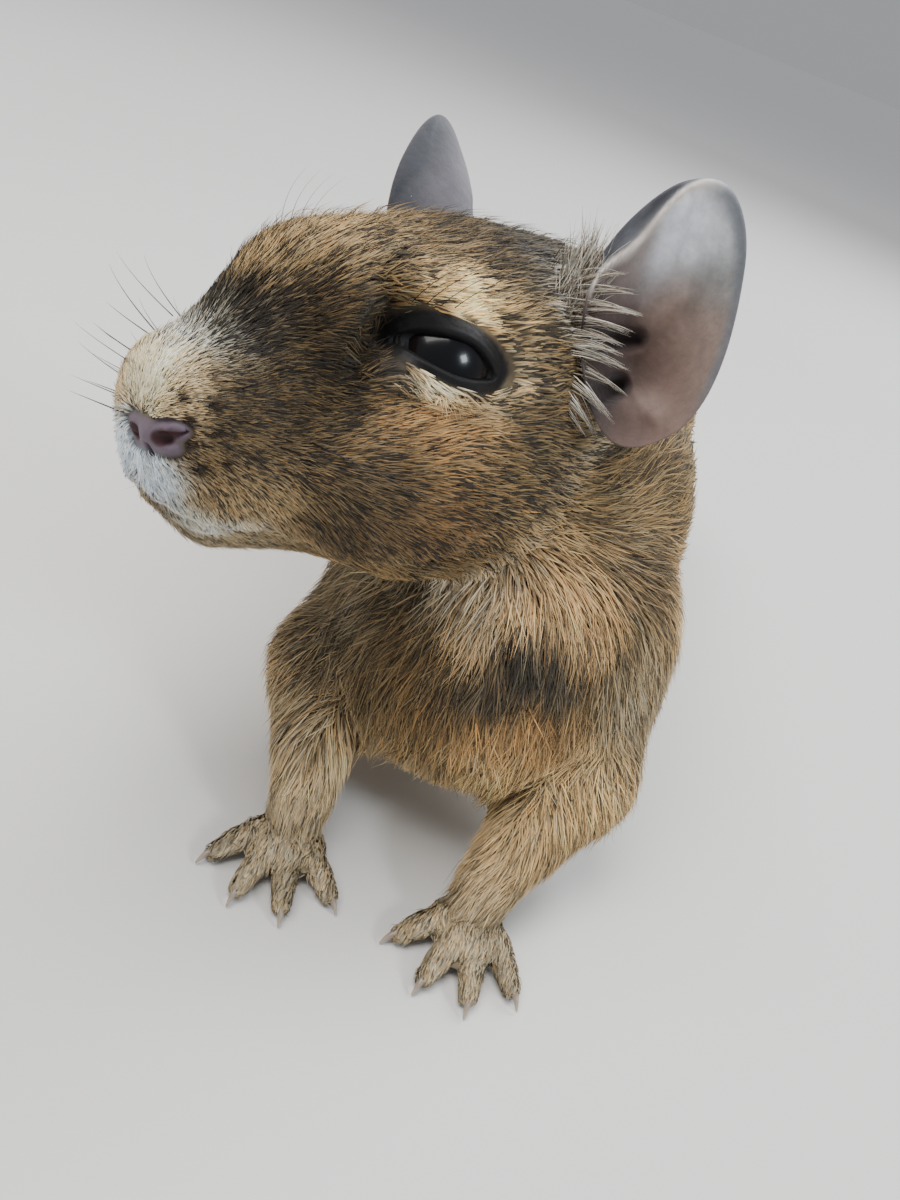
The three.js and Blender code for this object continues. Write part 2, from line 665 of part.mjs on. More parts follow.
// One flat lock of the brush: it leaves the tail, bends back along it and stays above the floor.
function tuftLock(t, angle, length) {
  const root = tailCurve.getPoint(t);
  const forward = tailCurve.getTangent(t).normalize();
  const side = new THREE.Vector3(0, 0, 1).cross(forward).normalize();
  const outward = side.multiplyScalar(Math.cos(angle)).setZ(Math.sin(angle));
  const flatten = 3 * (1 - smoothstep(Math.max(0, outward.z)));
  const LOW = 1.15;
  const SPREAD = 0.3;
  const points = [0, 0.3, 0.65, 1].map((share) => {
    const off = 0.5 + SPREAD * length * share ** 0.75 * (1 - 0.42 * share);
    const p = root.clone().addScaledVector(forward, share * length).addScaledVector(outward, off);
    return p.setZ(Math.max(p.z, LOW + 0.25 * share));
  });
  const size = (s) => [mix(1.2, 2, Math.min(1, s * 2.5)) * (1 - 0.8 * s ** 2), mix(0.8, 0.3, s)];
  return sweep(points, size, {
    steps: 3,
    sides: 4,
    up: outward.clone().setZ(outward.z + flatten),
    round: [false, false],
  });
}

// The locks lie round the upper side of the tail in a golden-angle order.
function makeTuft() {
  const GOLDEN = 0.618034;
  const ARC = [-0.45, Math.PI + 0.45];
  const locks = [];
  for (let i = 0; i < TUFT_LOCKS; i++) {
    const t = mix(TUFT_SPAN[0], TUFT_SPAN[1], i / (TUFT_LOCKS - 1));
    const variation = 0.5 + 0.5 * Math.sin(i * 7.31);
    locks.push(tuftLock(t, mix(ARC[0], ARC[1], (i * GOLDEN) % 1), TUFT_LENGTH * (0.84 + 0.24 * variation)));
  }
  return joined(locks);
}

// The whole animal

const torso = trimmed(torsoSkin(0), NECK_CUT, -1);
const torsoCutter = torsoSkin(GAP);
const { head, eyes } = makeHead();
const headWorld = inFrame(head, HEAD_FRAME);
const headCutter = (() => {
  const points = [[0, 8, -2], [0, 20, 1], [0, 32, 1.5], [0, 42, 0]].map(headPoint);
  const stations = stationsAlong(points, { steps: 14, firstDome: 5, lastDome: 5, across: headLeft });
  return skinOf(wholeField, stations, 32, { reach: 26, level: GAP });
})();

const headGroup = new THREE.Group();
HEAD_FRAME.decompose(headGroup.position, headGroup.quaternion, headGroup.scale);
headGroup.add(meshOf("head", head, AGOUTI));
for (const [i, name] of ["left", "right"].entries()) {
  headGroup.add(meshOf(`eye_${name}`, eyes[i], EYE_GLOSS));
  const ear = makeEar(i ? -1 : 1).subtract(inFrame(headCutter, WORLD_TO_HEAD));
  headGroup.add(meshOf(`ear_${name}`, ear, EAR_SKIN));
}

const part = new THREE.Group();
part.add(headGroup);
part.add(meshOf("neck", makeNeck(), AGOUTI));
part.add(meshOf("torso", torso, AGOUTI));

for (const [name, spec] of Object.entries(FORELEGS)) {
  const foreleg = makeForeleg(spec, torsoCutter);
  part.add(meshOf(`foreleg_${name}`, foreleg, AGOUTI));
  part.add(meshOf(`forepaw_${name}`, trimmed(makeForepaw(spec), wristCut(spec), 1), PALE_FUR));
}

for (const [name, spec] of Object.entries(HAUNCHES)) {
  part.add(meshOf(`hindleg_${name}`, makeHaunch(spec, torsoCutter, makeHindFoot(spec, GAP)), AGOUTI));
  part.add(meshOf(`hindfoot_${name}`, makeHindFoot(spec, 0), PALE_FUR));
}

const tail = tailSkin();
const [firstCut, secondCut] = TAIL_CUTS.map(tailCut);
part.add(meshOf("tail_base", trimmed(tail, firstCut, -1).subtract(torsoCutter), TAIL_FUR));
part.add(meshOf("tail_middle", trimmed(trimmed(tail, firstCut, 1), secondCut, -1), TAIL_FUR));
part.add(meshOf("tail_tip", trimmed(tail, secondCut, 1).add(makeTuft()), TAIL_FUR));

// The origin is at the middle of the box's underside
part.updateMatrixWorld(true);
const box = new THREE.Box3().setFromObject(part, true);
const middle = box.getCenter(new THREE.Vector3());
part.position.set(-middle.x, -middle.y, -box.min.z);

export default part;
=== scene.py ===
"""The dressed degu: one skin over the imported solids, a coat of tufts, ears, eyes, whiskers and claws.

The animal's own frame is in millimetres, with its face towards -Y and its left side towards +X.
"""

from __future__ import annotations

import functools
import logging
import math
from dataclasses import dataclass
from enum import Enum

import bmesh
import bpy
import numpy as np
from mathutils import Matrix, Vector


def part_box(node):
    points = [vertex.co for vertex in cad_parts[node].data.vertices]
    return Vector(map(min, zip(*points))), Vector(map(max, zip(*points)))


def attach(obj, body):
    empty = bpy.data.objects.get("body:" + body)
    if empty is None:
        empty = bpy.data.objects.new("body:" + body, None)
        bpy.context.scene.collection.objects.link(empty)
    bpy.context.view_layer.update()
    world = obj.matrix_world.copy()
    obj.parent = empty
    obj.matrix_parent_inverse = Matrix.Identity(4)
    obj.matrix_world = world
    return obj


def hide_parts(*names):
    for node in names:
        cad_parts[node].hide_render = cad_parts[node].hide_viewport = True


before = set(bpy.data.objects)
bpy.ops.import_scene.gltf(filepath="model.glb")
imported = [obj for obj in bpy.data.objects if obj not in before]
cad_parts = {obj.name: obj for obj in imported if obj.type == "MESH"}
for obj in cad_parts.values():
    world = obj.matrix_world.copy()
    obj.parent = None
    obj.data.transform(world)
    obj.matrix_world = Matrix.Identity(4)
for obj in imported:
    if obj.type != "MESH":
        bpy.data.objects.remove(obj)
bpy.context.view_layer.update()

Array = np.ndarray
Point = tuple[float, float, float]
MM = 0.001
SEED = 4113
SIDES = (1, -1)
BAKE_PATCH = 0.003
log = logging.getLogger("degu")


# Small helpers


def unit(v: Array) -> Array:
    """Vectors brought to length 1."""
    v = np.asarray(v, float)
    return v / np.maximum(np.linalg.norm(v, axis=-1, keepdims=True), 1e-9)


def mix(a: Array, b: Array, share: Array) -> Array:
    """The value a share of the way from a to b."""
    return a + (b - a) * share


def ramp(low: float, high: float, x: Array) -> Array:
    """A smooth step from 0 at low to 1 at high."""
    t = np.clip((x - low) / (high - low), 0, 1)
    return t * t * (3 - 2 * t)


def swell(p: Array, centre: Point, spread: Point) -> Array:
    """A soft hill of height 1 round a centre."""
    q = (p - np.array(centre, float)) / np.array(spread, float)
    return np.exp(-0.5 * np.sum(q * q, axis=-1))


def noise(p: Array, size: float, turn: int = 0) -> Array:
    """Smooth values from -1 to 1, the same for a point each time.

    Args:
        p: Points in millimetres.
        size: The width of one patch of the noise.
        turn: Picks another pattern.

    Returns:
        One value a point.
    """
    q = p / size + 13.7 * turn
    cell = np.floor(q).astype(np.int64)
    f = q - cell
    f = f * f * (3 - 2 * f)
    total = np.zeros(q.shape[:-1])
    for corner in range(8):
        step = np.array([corner & 1, corner >> 1 & 1, corner >> 2])
        key = ((cell + step) @ np.array([127, 311, 743])) % 9973
        value = np.modf(np.abs(np.sin(key * 12.9898) * 43758.5453))[0]
        total += value * np.prod(np.where(step, f, 1 - f), axis=-1)
    return total * 2 - 1


def mirrored(place: Point, side: int) -> Array:
    """A place or a way of the left side, given as it is for side 1 and mirrored for side -1."""
    return np.array(place, float) * np.array([side, 1, 1])


def side_name(side: int) -> str:
    """What a side is called in the names of pieces."""
    return "left" if side > 0 else "right"


def linear(colour: Array) -> Array:
    """Display colours from 0 to 255 as linear light."""
    c = np.clip(np.asarray(colour, float) / 255, 0, 1)
    return np.where(c <= 0.04045, c / 12.92, ((c + 0.055) / 1.055) ** 2.4)


def spline(points: Array, steps: int, closed: bool = False) -> Array:
    """A smooth curve through points.

    Args:
        points: The points that it passes.
        steps: How many points to give for each span.
        closed: Whether it ends where it starts.

    Returns:
        The points of the curve.
    """
    points = np.asarray(points, float)
    count = len(points)
    spans = count if closed else count - 1
    at = np.arange(spans * steps + (0 if closed else 1)) / steps
    first = np.minimum(at.astype(int), spans - 1)
    t = (at - first)[:, None]
    if closed:
        a, b, c, d = (points[(first + k) % count] for k in (-1, 0, 1, 2))
    else:
        padded = np.vstack([2 * points[0] - points[1], points, 2 * points[-1] - points[-2]])
        a, b, c, d = (padded[first + k] for k in range(4))
    cubic = -a + 3 * b - 3 * c + d
    square = 2 * a - 5 * b + 4 * c - d
    return 0.5 * (2 * b + (c - a) * t + square * t**2 + cubic * t**3)


# The animal's forms as distance fields


def union(a: Array, b: Array, width: float) -> Array:
    """The smooth union of two distances, blended over a width."""
    h = np.maximum(width - np.abs(a - b), 0) / width
    return np.minimum(a, b) - h * h * width * 0.25


def without(a: Array, b: Array, width: float) -> Array:
    """A form with another taken out of it, with a rounded edge."""
    return -union(-a, b, width)


def together(values: list[Array], width: float) -> Array:
    """The smooth union of several distances."""
    return functools.reduce(lambda a, b: union(a, b, width), values)


def ball(p: Array, centre: Point, radii: Point) -> Array:
    """The distance to an oval ball, about right near its surface."""
    q = (p - np.array(centre, float)) / np.array(radii, float)
    reach = np.linalg.norm(q, axis=-1)
    slope = np.linalg.norm(q / np.array(radii, float), axis=-1)
    return reach * (reach - 1) / np.maximum(slope, 1e-9)


def rod(p: Array, start: Point, end: Point, first: float, last: float) -> Array:
    """The distance to a round rod whose radius changes from first to last."""
    a = np.array(start, float)
    along = np.array(end, float) - a
    t = np.clip((p - a) @ along / (along @ along), 0, 1)
    return np.linalg.norm(p - a - t[..., None] * along, axis=-1) - mix(first, last, t)


def to_line(p: Array, line: Array) -> tuple[Array, Array]:
    """How far points are from a line of points.

    Args:
        p: The points.
        line: The line's points, in order.

    Returns:
        The distance, and the share of the line's spans at the nearest place.
    """
    nearest = np.full(len(p), 1e9)
    share = np.zeros(len(p))
    for i in range(len(line) - 1):
        along = line[i + 1] - line[i]
        t = np.clip((p - line[i]) @ along / (along @ along), 0, 1)
        distance = np.linalg.norm(p - line[i] - t[:, None] * along, axis=-1)
        closer = distance < nearest
        nearest = np.where(closer, distance, nearest)
        share = np.where(closer, (i + t) / (len(line) - 1), share)
    return nearest, share


@dataclass(frozen=True)
class HeadFrame:
    """The head's own axes: x to its left, y to its back and z up, from the tip of the nose."""

    tip: Point = (-35.8, -35.9, 47.3)
    left: Point = (0.779, -0.605, 0.167)
    back: Point = (0.611, 0.791, 0.018)

    def axes(self) -> Array:
        """The three axes as rows."""
        back = unit(self.back)
        up = unit(np.cross(self.left, back))
        return np.stack([np.cross(back, up), back, up])

    def into(self, p: Array) -> Array:
        """Points of the animal in the head's axes."""
        return (p - np.array(self.tip)) @ self.axes().T

    def out(self, h: Array) -> Array:
        """Points in the head's axes as points of the animal."""
        return np.asarray(h, float) @ self.axes() + np.array(self.tip)

    def turned(self, v: Array) -> Array:
        """Directions in the head's axes as directions of the animal."""
        return np.asarray(v, float) @ self.axes()


@dataclass(frozen=True)
class Socket:
    """The left eye and its lids in the head's axes. The right eye is its mirror image."""

    radius: float = 4.9
    centre: Point = (7.45, 23.3, 6.9)
    gaze: Point = (0.82, -0.4, 0.4)
    slant: Point = (0.413, 0.875, -0.25)
    almond: tuple[tuple[float, float], ...] = (
        *((-4.9, -0.1), (-3.7, 0.9), (-2.1, 1.25), (-0.3, 1.5), (1.5, 1.45), (3.2, 0.85)),
        *((4.4, 0.05), (4.0, -0.6), (2.5, -1.3), (0.4, -1.62), (-1.9, -1.32), (-3.7, -0.72)),
    )
    lid: float = 0.6

    def axes(self) -> tuple[Array, Array, Array]:
        """Along the lids, across them and out of the eye."""
        gaze = unit(self.gaze)
        slant = np.array(self.slant) - (np.array(self.slant) @ gaze) * gaze
        slant = unit(slant)
        return slant, np.cross(gaze, slant), gaze

    def rim(self) -> Array:
        """The almond opening between the lids, along and across, as points round it."""
        return spline(np.array(self.almond), 5, closed=True)

    def outside(self, u: Array, v: Array) -> Array:
        """How far places are outside the opening, below 0 within it.

        Args:
            u: The place along the lids.
            v: The place across them.

        Returns:
            The distance in millimetres.
        """
        rim = self.rim()
        q = np.stack([u, v], axis=-1)
        inside = np.zeros(len(u), bool)
        for a, b in zip(rim, np.roll(rim, -1, axis=0)):
            crosses = (a[1] > v) != (b[1] > v)
            rise = b[1] - a[1] if abs(b[1] - a[1]) > 1e-9 else 1e-9
            inside ^= crosses & (u < a[0] + (v - a[1]) / rise * (b[0] - a[0]))
        distance, _ = to_line(q, np.vstack([rim, rim[:1]]))
        return np.where(inside, -distance, distance)


def headed(angle: float) -> Array:
    """The way over the floor that is turned from the front by an angle."""
    return np.array([math.sin(angle), -math.cos(angle), 0])


@dataclass(frozen=True)
class Digit:
    """One toe: where it leaves the foot, its heading in the floor's plane, its length, size and arch."""

    base: Point
    heading: float
    length: float
    radius: float
    lift: float

    def at(self, share: float, height: float) -> Array:
        """A point a share of the toe's length along it, at a height."""
        base = np.array([self.base[0], self.base[1], 0])
        return base + headed(self.heading) * share * self.length + [0, 0, height]

    def line(self) -> list[Array]:
        """The points that the toe passes."""
        r = self.radius
        return [
            self.at(-0.35, self.base[2]),
            self.at(0.15, self.base[2] + self.lift),
            self.at(0.6, 1.25 * r),
            self.at(1.0, 0.8 * r),
        ]


@dataclass(frozen=True)
class Leg:
    """One leg: its joints, the heading of its foot and the side of it that faces inwards."""

    top: Point
    middle: Point
    foot: Point
    heading: float
    inner: int

    def ahead(self) -> Array:
        """The way that the foot points."""
        return headed(self.heading)

    def aside(self) -> Array:
        """The way across the foot, to the animal's left."""
        return np.array([math.cos(self.heading), math.sin(self.heading), 0])


TOE_RADIUS = 1.35
HAND_LENGTH = 6.2
CLAW_LENGTH = 2.2
HIND_FOOT_LENGTH = 22.0
HIND_TOE_LENGTH = 8.8
PALM_HALF = 2.9
FINGERS = ((-1, 3.4, -0.85, 0.88), (-0.36, 4.8, -0.33, 1.02), (0.32, 4.8, 0.12, 1), (0.95, 3.6, 0.62, 0.86))
HIND_TOES = ((-1.05, 0.62), (-0.52, 0.96), (0, 1), (0.52, 0.94), (1.05, 0.74))
FORELEGS = {
    "left": Leg((11.5, -4, 27), (13, -13.5, 13.5), (7.2, -27.4, 5), -0.02, -1),
    "right": Leg((-14.5, -3, 27), (-18.5, -11.5, 13.5), (-15, -25.6, 5), -0.05, 1),
}
HINDLEGS = {
    "left": Leg((11.5, 70, 24), (11.5, 70, 12.5), (15.4, 80, 0), 0.1, -1),
    "right": Leg((-22, 69, 24), (-22, 69, 12.5), (-26, 79, 0), -0.1, 1),
}


def fore_digits(leg: Leg) -> list[Digit]:
    """The four fingers and the small thumb of a forepaw.

    Args:
        leg: The foreleg.

    Returns:
        Its digits, with the thumb last.
    """
    wrist = np.array(leg.foot, float)
    digits = []
    for place, ahead, turn, share in FINGERS:
        base = wrist + leg.ahead() * ahead + leg.aside() * place * PALM_HALF * -leg.inner
        heading = leg.heading + turn * -leg.inner
        digits.append(Digit((base[0], base[1], 1.8), heading, HAND_LENGTH * share, TOE_RADIUS, 0.7))
    base = wrist + leg.ahead() * 1.2 + leg.aside() * PALM_HALF * leg.inner
    heading = leg.heading + 0.7 * leg.inner
    digits.append(Digit((base[0], base[1], 1.5), heading, 1.9, TOE_RADIUS * 0.8, 0.1))
    return digits


def sole(leg: Leg) -> tuple[Array, Array]:
    """The heel and the ball of a hind foot."""
    heel = np.array([leg.foot[0], leg.foot[1], 3]) - leg.ahead() * 4.5
    end = heel + leg.ahead() * HIND_FOOT_LENGTH
    end[2] = 2.2
    return heel, end


def hind_digits(leg: Leg) -> list[Digit]:
    """The five toes of a hind foot.

    Args:
        leg: The hind leg.

    Returns:
        Its toes.
    """
    _, end = sole(leg)
    digits = []
    for place, share in HIND_TOES:
        base = end + leg.aside() * place * PALM_HALF * -leg.inner - leg.ahead() * (1.2 + 2.2 * abs(place))
        heading = leg.heading + place * 0.26 * -leg.inner
        length = HIND_TOE_LENGTH * share
        digits.append(Digit((base[0], base[1], 2.2), heading, length, TOE_RADIUS * 1.15, 0.9))
    return digits


def all_digits() -> list[Digit]:
    """Every toe of the four feet."""
    fore = [digit for leg in FORELEGS.values() for digit in fore_digits(leg)]
    hind = [digit for leg in HINDLEGS.values() for digit in hind_digits(leg)]
    return fore + hind


DIGITS = all_digits()
FINE_FACE = 33.0
EYE_REACH = 9.0


@dataclass(frozen=True)
class Tail:
    """The tail: a line that drops from the rump and lies along the floor."""

    root: float = 5.2
    end: float = 2.3
    press: float = 0.12
    drop: tuple[Point, ...] = ((-5.6, 88, 18), (-6, 100, 13.6), (-5.4, 113, 7.6))
    laid: tuple[tuple[float, float], ...] = ((-1.5, 129), (7, 147), (14.5, 164), (17, 182), (14.5, 199))

    def radius(self, share: Array) -> Array:
        """The tail's radius at a share of its length."""
        return mix(self.root, self.end, np.minimum(1, np.asarray(share) * 1.6) ** 0.7)

    def line(self, steps: int = 8) -> Array:
        """The points of its middle line.

        Args:
            steps: How many points to give for each span.

        Returns:
            The points in order.
        """
        points = [np.array(p, float) for p in self.drop]
        last = len(self.drop) + len(self.laid) - 1
        for i, (x, y) in enumerate(self.laid):
            height = float(self.radius((len(self.drop) + i) / last)) - self.press
            points.append(np.array([x, y, height]))
        return spline(np.array(points), steps)


HEAD = HeadFrame()
SOCKET = Socket()
TAIL = Tail()
TAIL_LINE = TAIL.line()


def animal_shift() -> Array:
    """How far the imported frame's millimetres lie from the animal's own."""
    boxes = [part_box(f"eye_{side_name(side)}") for side in SIDES]
    middles = [(np.array(low) + np.array(high)) / 2 for low, high in boxes]
    own_middles = [HEAD.out(mirrored(SOCKET.centre, side)) for side in SIDES]
    return np.mean(middles, axis=0) / MM - np.mean(own_middles, axis=0)


SHIFT = animal_shift()


@dataclass(frozen=True)
class Flesh:
    """The whole animal as one smooth field: the distance to it, about right near it, below 0 inside."""

    head_blend: float = 4.2
    body_blend: float = 6.0
    leg_blend: float = 4.0
    join: float = 5.0

    def head(self, m: Array) -> Array:
        """The head without its fine forms, in the head's axes with both sides folded to the left.

        Args:
            m: Points in the head's axes, folded.

        Returns:
            The distance at each point.
        """
        forms = [
            ball(m, (0, 31, 4.8), (13.8, 17, 13.6)),
            ball(m, (0, 43, 4.4), (11.2, 12.5, 12.6)),
            ball(m, (0, 20, 5.4), (8.4, 14, 11.6)),
            rod(m, (0, 5.2, 2.4), (0, 16, 5.6), 5.1, 7.8),
            ball(m, (3.5, 4.6, 1.8), (3.2, 4.4, 3.8)),
            ball(m, (0, 8.6, -3.4), (6.6, 8.4, 6.2)),
            ball(m, (3.7, 6.4, -3.4), (4.2, 5, 4)),
            ball(m, (7.8, 24.5, -3.2), (8, 15, 9.6)),
            ball(m, (6, 19.8, 9.8), (4.6, 7.4, 5.2)),
            rod(m, (0, 7.4, -8.2), (0, 23, -8.4), 2.9, 6.8),
        ]
        return together(forms, self.head_blend)

    def trunk(self, p: Array) -> Array:
        """The neck and torso.

        Args:
            p: Points of the animal.

        Returns:
            The distance at each point.
        """
        forms = [
            ball(p, (-1.5, -4.5, 27), (16.6, 19.6, 18)),
            ball(p, (-3, -10, 18.2), (15, 13, 12.4)),
            ball(p, (-1, 21, 30), (18.8, 27, 22)),
            ball(p, (-3, 50, 30.5), (21, 31, 24.5)),
            ball(p, (-5.5, 76, 26), (19, 23.5, 22.5)),
            rod(p, (-13, -7, 46), (-2, 6, 35), 13.5, 17),
        ]
        return together(forms, self.body_blend)

    def foreleg(self, p: Array, leg: Leg) -> Array:
        """The shoulder and the arm down to the wrist.

        Args:
            p: Points of the animal.
            leg: Which foreleg.

        Returns:
            The distance at each point.
        """
        x, y, z = leg.top
        forms = [
            ball(p, (x, y - 2, z - 4), (7.4, 10.5, 13.5)),
            rod(p, leg.top, leg.middle, 6.4, 6.4),
            rod(p, leg.middle, leg.foot, 6.4, 3.3),
        ]
        return together(forms, self.leg_blend)

    def haunch(self, p: Array, leg: Leg) -> Array:
        """The thigh, the knee and the shank of a hind leg.

        Args:
            p: Points of the animal.
            leg: Which hind leg.

        Returns:
            The distance at each point.
        """
        x, y, z = leg.top
        out = -leg.inner
        ankle = (leg.foot[0] + leg.inner * 0.5, leg.foot[1] + 4.6, 6)
        forms = [
            ball(p, (x, y, z), (9.4, 21.5, 18.5)),
            ball(p, (x + out * 2.5, y - 8.5, z - 10), (7.6, 12.5, 11)),
            rod(p, (x + out * 3, y + 1, 12.5), ankle, 8.4, 4.8),
        ]
        return together(forms, self.leg_blend)

    def feet(self, p: Array) -> Array:
        """The paws and the hind feet with their toes, without claws.

        Args:
            p: Points of the animal.

        Returns:
            The distance at each point.
        """
        total = np.full(len(p), 50.0)
        flat = np.array([1, 1, 1.75])
        for leg in FORELEGS.values():
            wrist = np.array(leg.foot, float)
            palm = wrist + leg.ahead() * 3.2
            palm[2] = 1.9
            total = union(total, rod(p, wrist, palm, 3.1, 2.2), 0.8)
            toes = palm + leg.ahead() * 1.4
            total = union(total, rod(p * flat, palm * flat, toes * flat, 3.6, 3.6) * 0.7, 0.8)
        for leg in HINDLEGS.values():
            heel, end = sole(leg)
            total = union(total, rod(p * flat, heel * flat, end * flat, 3.2, 3.9) * 0.7, 0.8)
        for digit in DIGITS:
            a, b, c, d = digit.line()
            r = digit.radius
            toe = together([rod(p, a, b, 1.1 * r, r), rod(p, b, c, r, r), rod(p, c, d, r, 0.84 * r)], 0.4)
            total = union(total, toe, 0.5)
        return total

    def body(self, p: Array) -> Array:
        """The animal behind the head's own fine forms.

        Args:
            p: Points of the animal.

        Returns:
            The distance at each point.
        """
        head = self.head(folded(HEAD.into(p)))
        total = union(self.trunk(p), head, self.body_blend)
        for leg in FORELEGS.values():
            total = union(total, self.foreleg(p, leg), self.join)
        rear = p[:, 1] > 35
        if rear.any():
            value = total[rear]
            for leg in HINDLEGS.values():
                value = union(value, self.haunch(p[rear], leg), self.join)
            total[rear] = value
        behind = p[:, 1] > 78
        if behind.any():
            distance, share = to_line(p[behind], TAIL_LINE)
            total[behind] = union(total[behind], distance - TAIL.radius(share), 3.0)
        low = (p[:, 2] < 12) & by_feet(p, -16, 48, 94)
        if low.any():
            total[low] = union(total[low], self.feet(p[low]), 1.6)
        return total

    def depth(self, p: Array) -> Array:
        """How deep the coat is: thin on the face and feet, deep on the body."""
        h = HEAD.into(p)
        face = mix(0.45, 1.5, ramp(6, 42, h[:, 1]))
        body = mix(0.4, 2.0, ramp(3, 20, p[:, 2]))
        body = mix(body, 0.7, ramp(96, 108, p[:, 1]))
        return mix(body, face, head_side(p, 8.0))

    def skin(self, p: Array) -> Array:
        """The skin under the coat, with the fine forms of the face.

        Args:
            p: Points of the animal.

        Returns:
            The distance to the skin.
        """
        value = self.body(p) + self.depth(p)
        h = HEAD.into(p)
        near = (h[:, 1] < FINE_FACE) & (value < 9) & (value > -12) & (head_side(p, 4.0) > 0)
        if near.any():
            value[near] = FACE.carve(h[near], value[near])
        return value

    def slope(self, p: Array) -> tuple[Array, Array]:
        """The skin's value and its slope at points."""
        step = 0.02
        value = self.skin(p)
        slope = np.stack([(self.skin(p + step * axis) - value) / step for axis in np.eye(3)], axis=-1)
        return value, slope


def by_feet(p: Array, fore: float, hind: float, heel: float) -> Array:
    """Whether points lie before fore, as the forepaws do, or from hind to heel, as the hind feet do."""
    return (p[:, 1] < fore) | ((p[:, 1] > hind) & (p[:, 1] < heel))


def folded(h: Array) -> Array:
    """Points in the head's axes with the right side laid on the left."""
    return np.concatenate([np.abs(h[:, :1]), h[:, 1:]], axis=1)


def head_side(p: Array, width: float) -> Array:
    """1 on the head's side of the neck and 0 on the body's."""
    normal = unit((-0.534, -0.534, 0.655))
    return ramp(-width / 2, width / 2, p @ normal - 39.6)


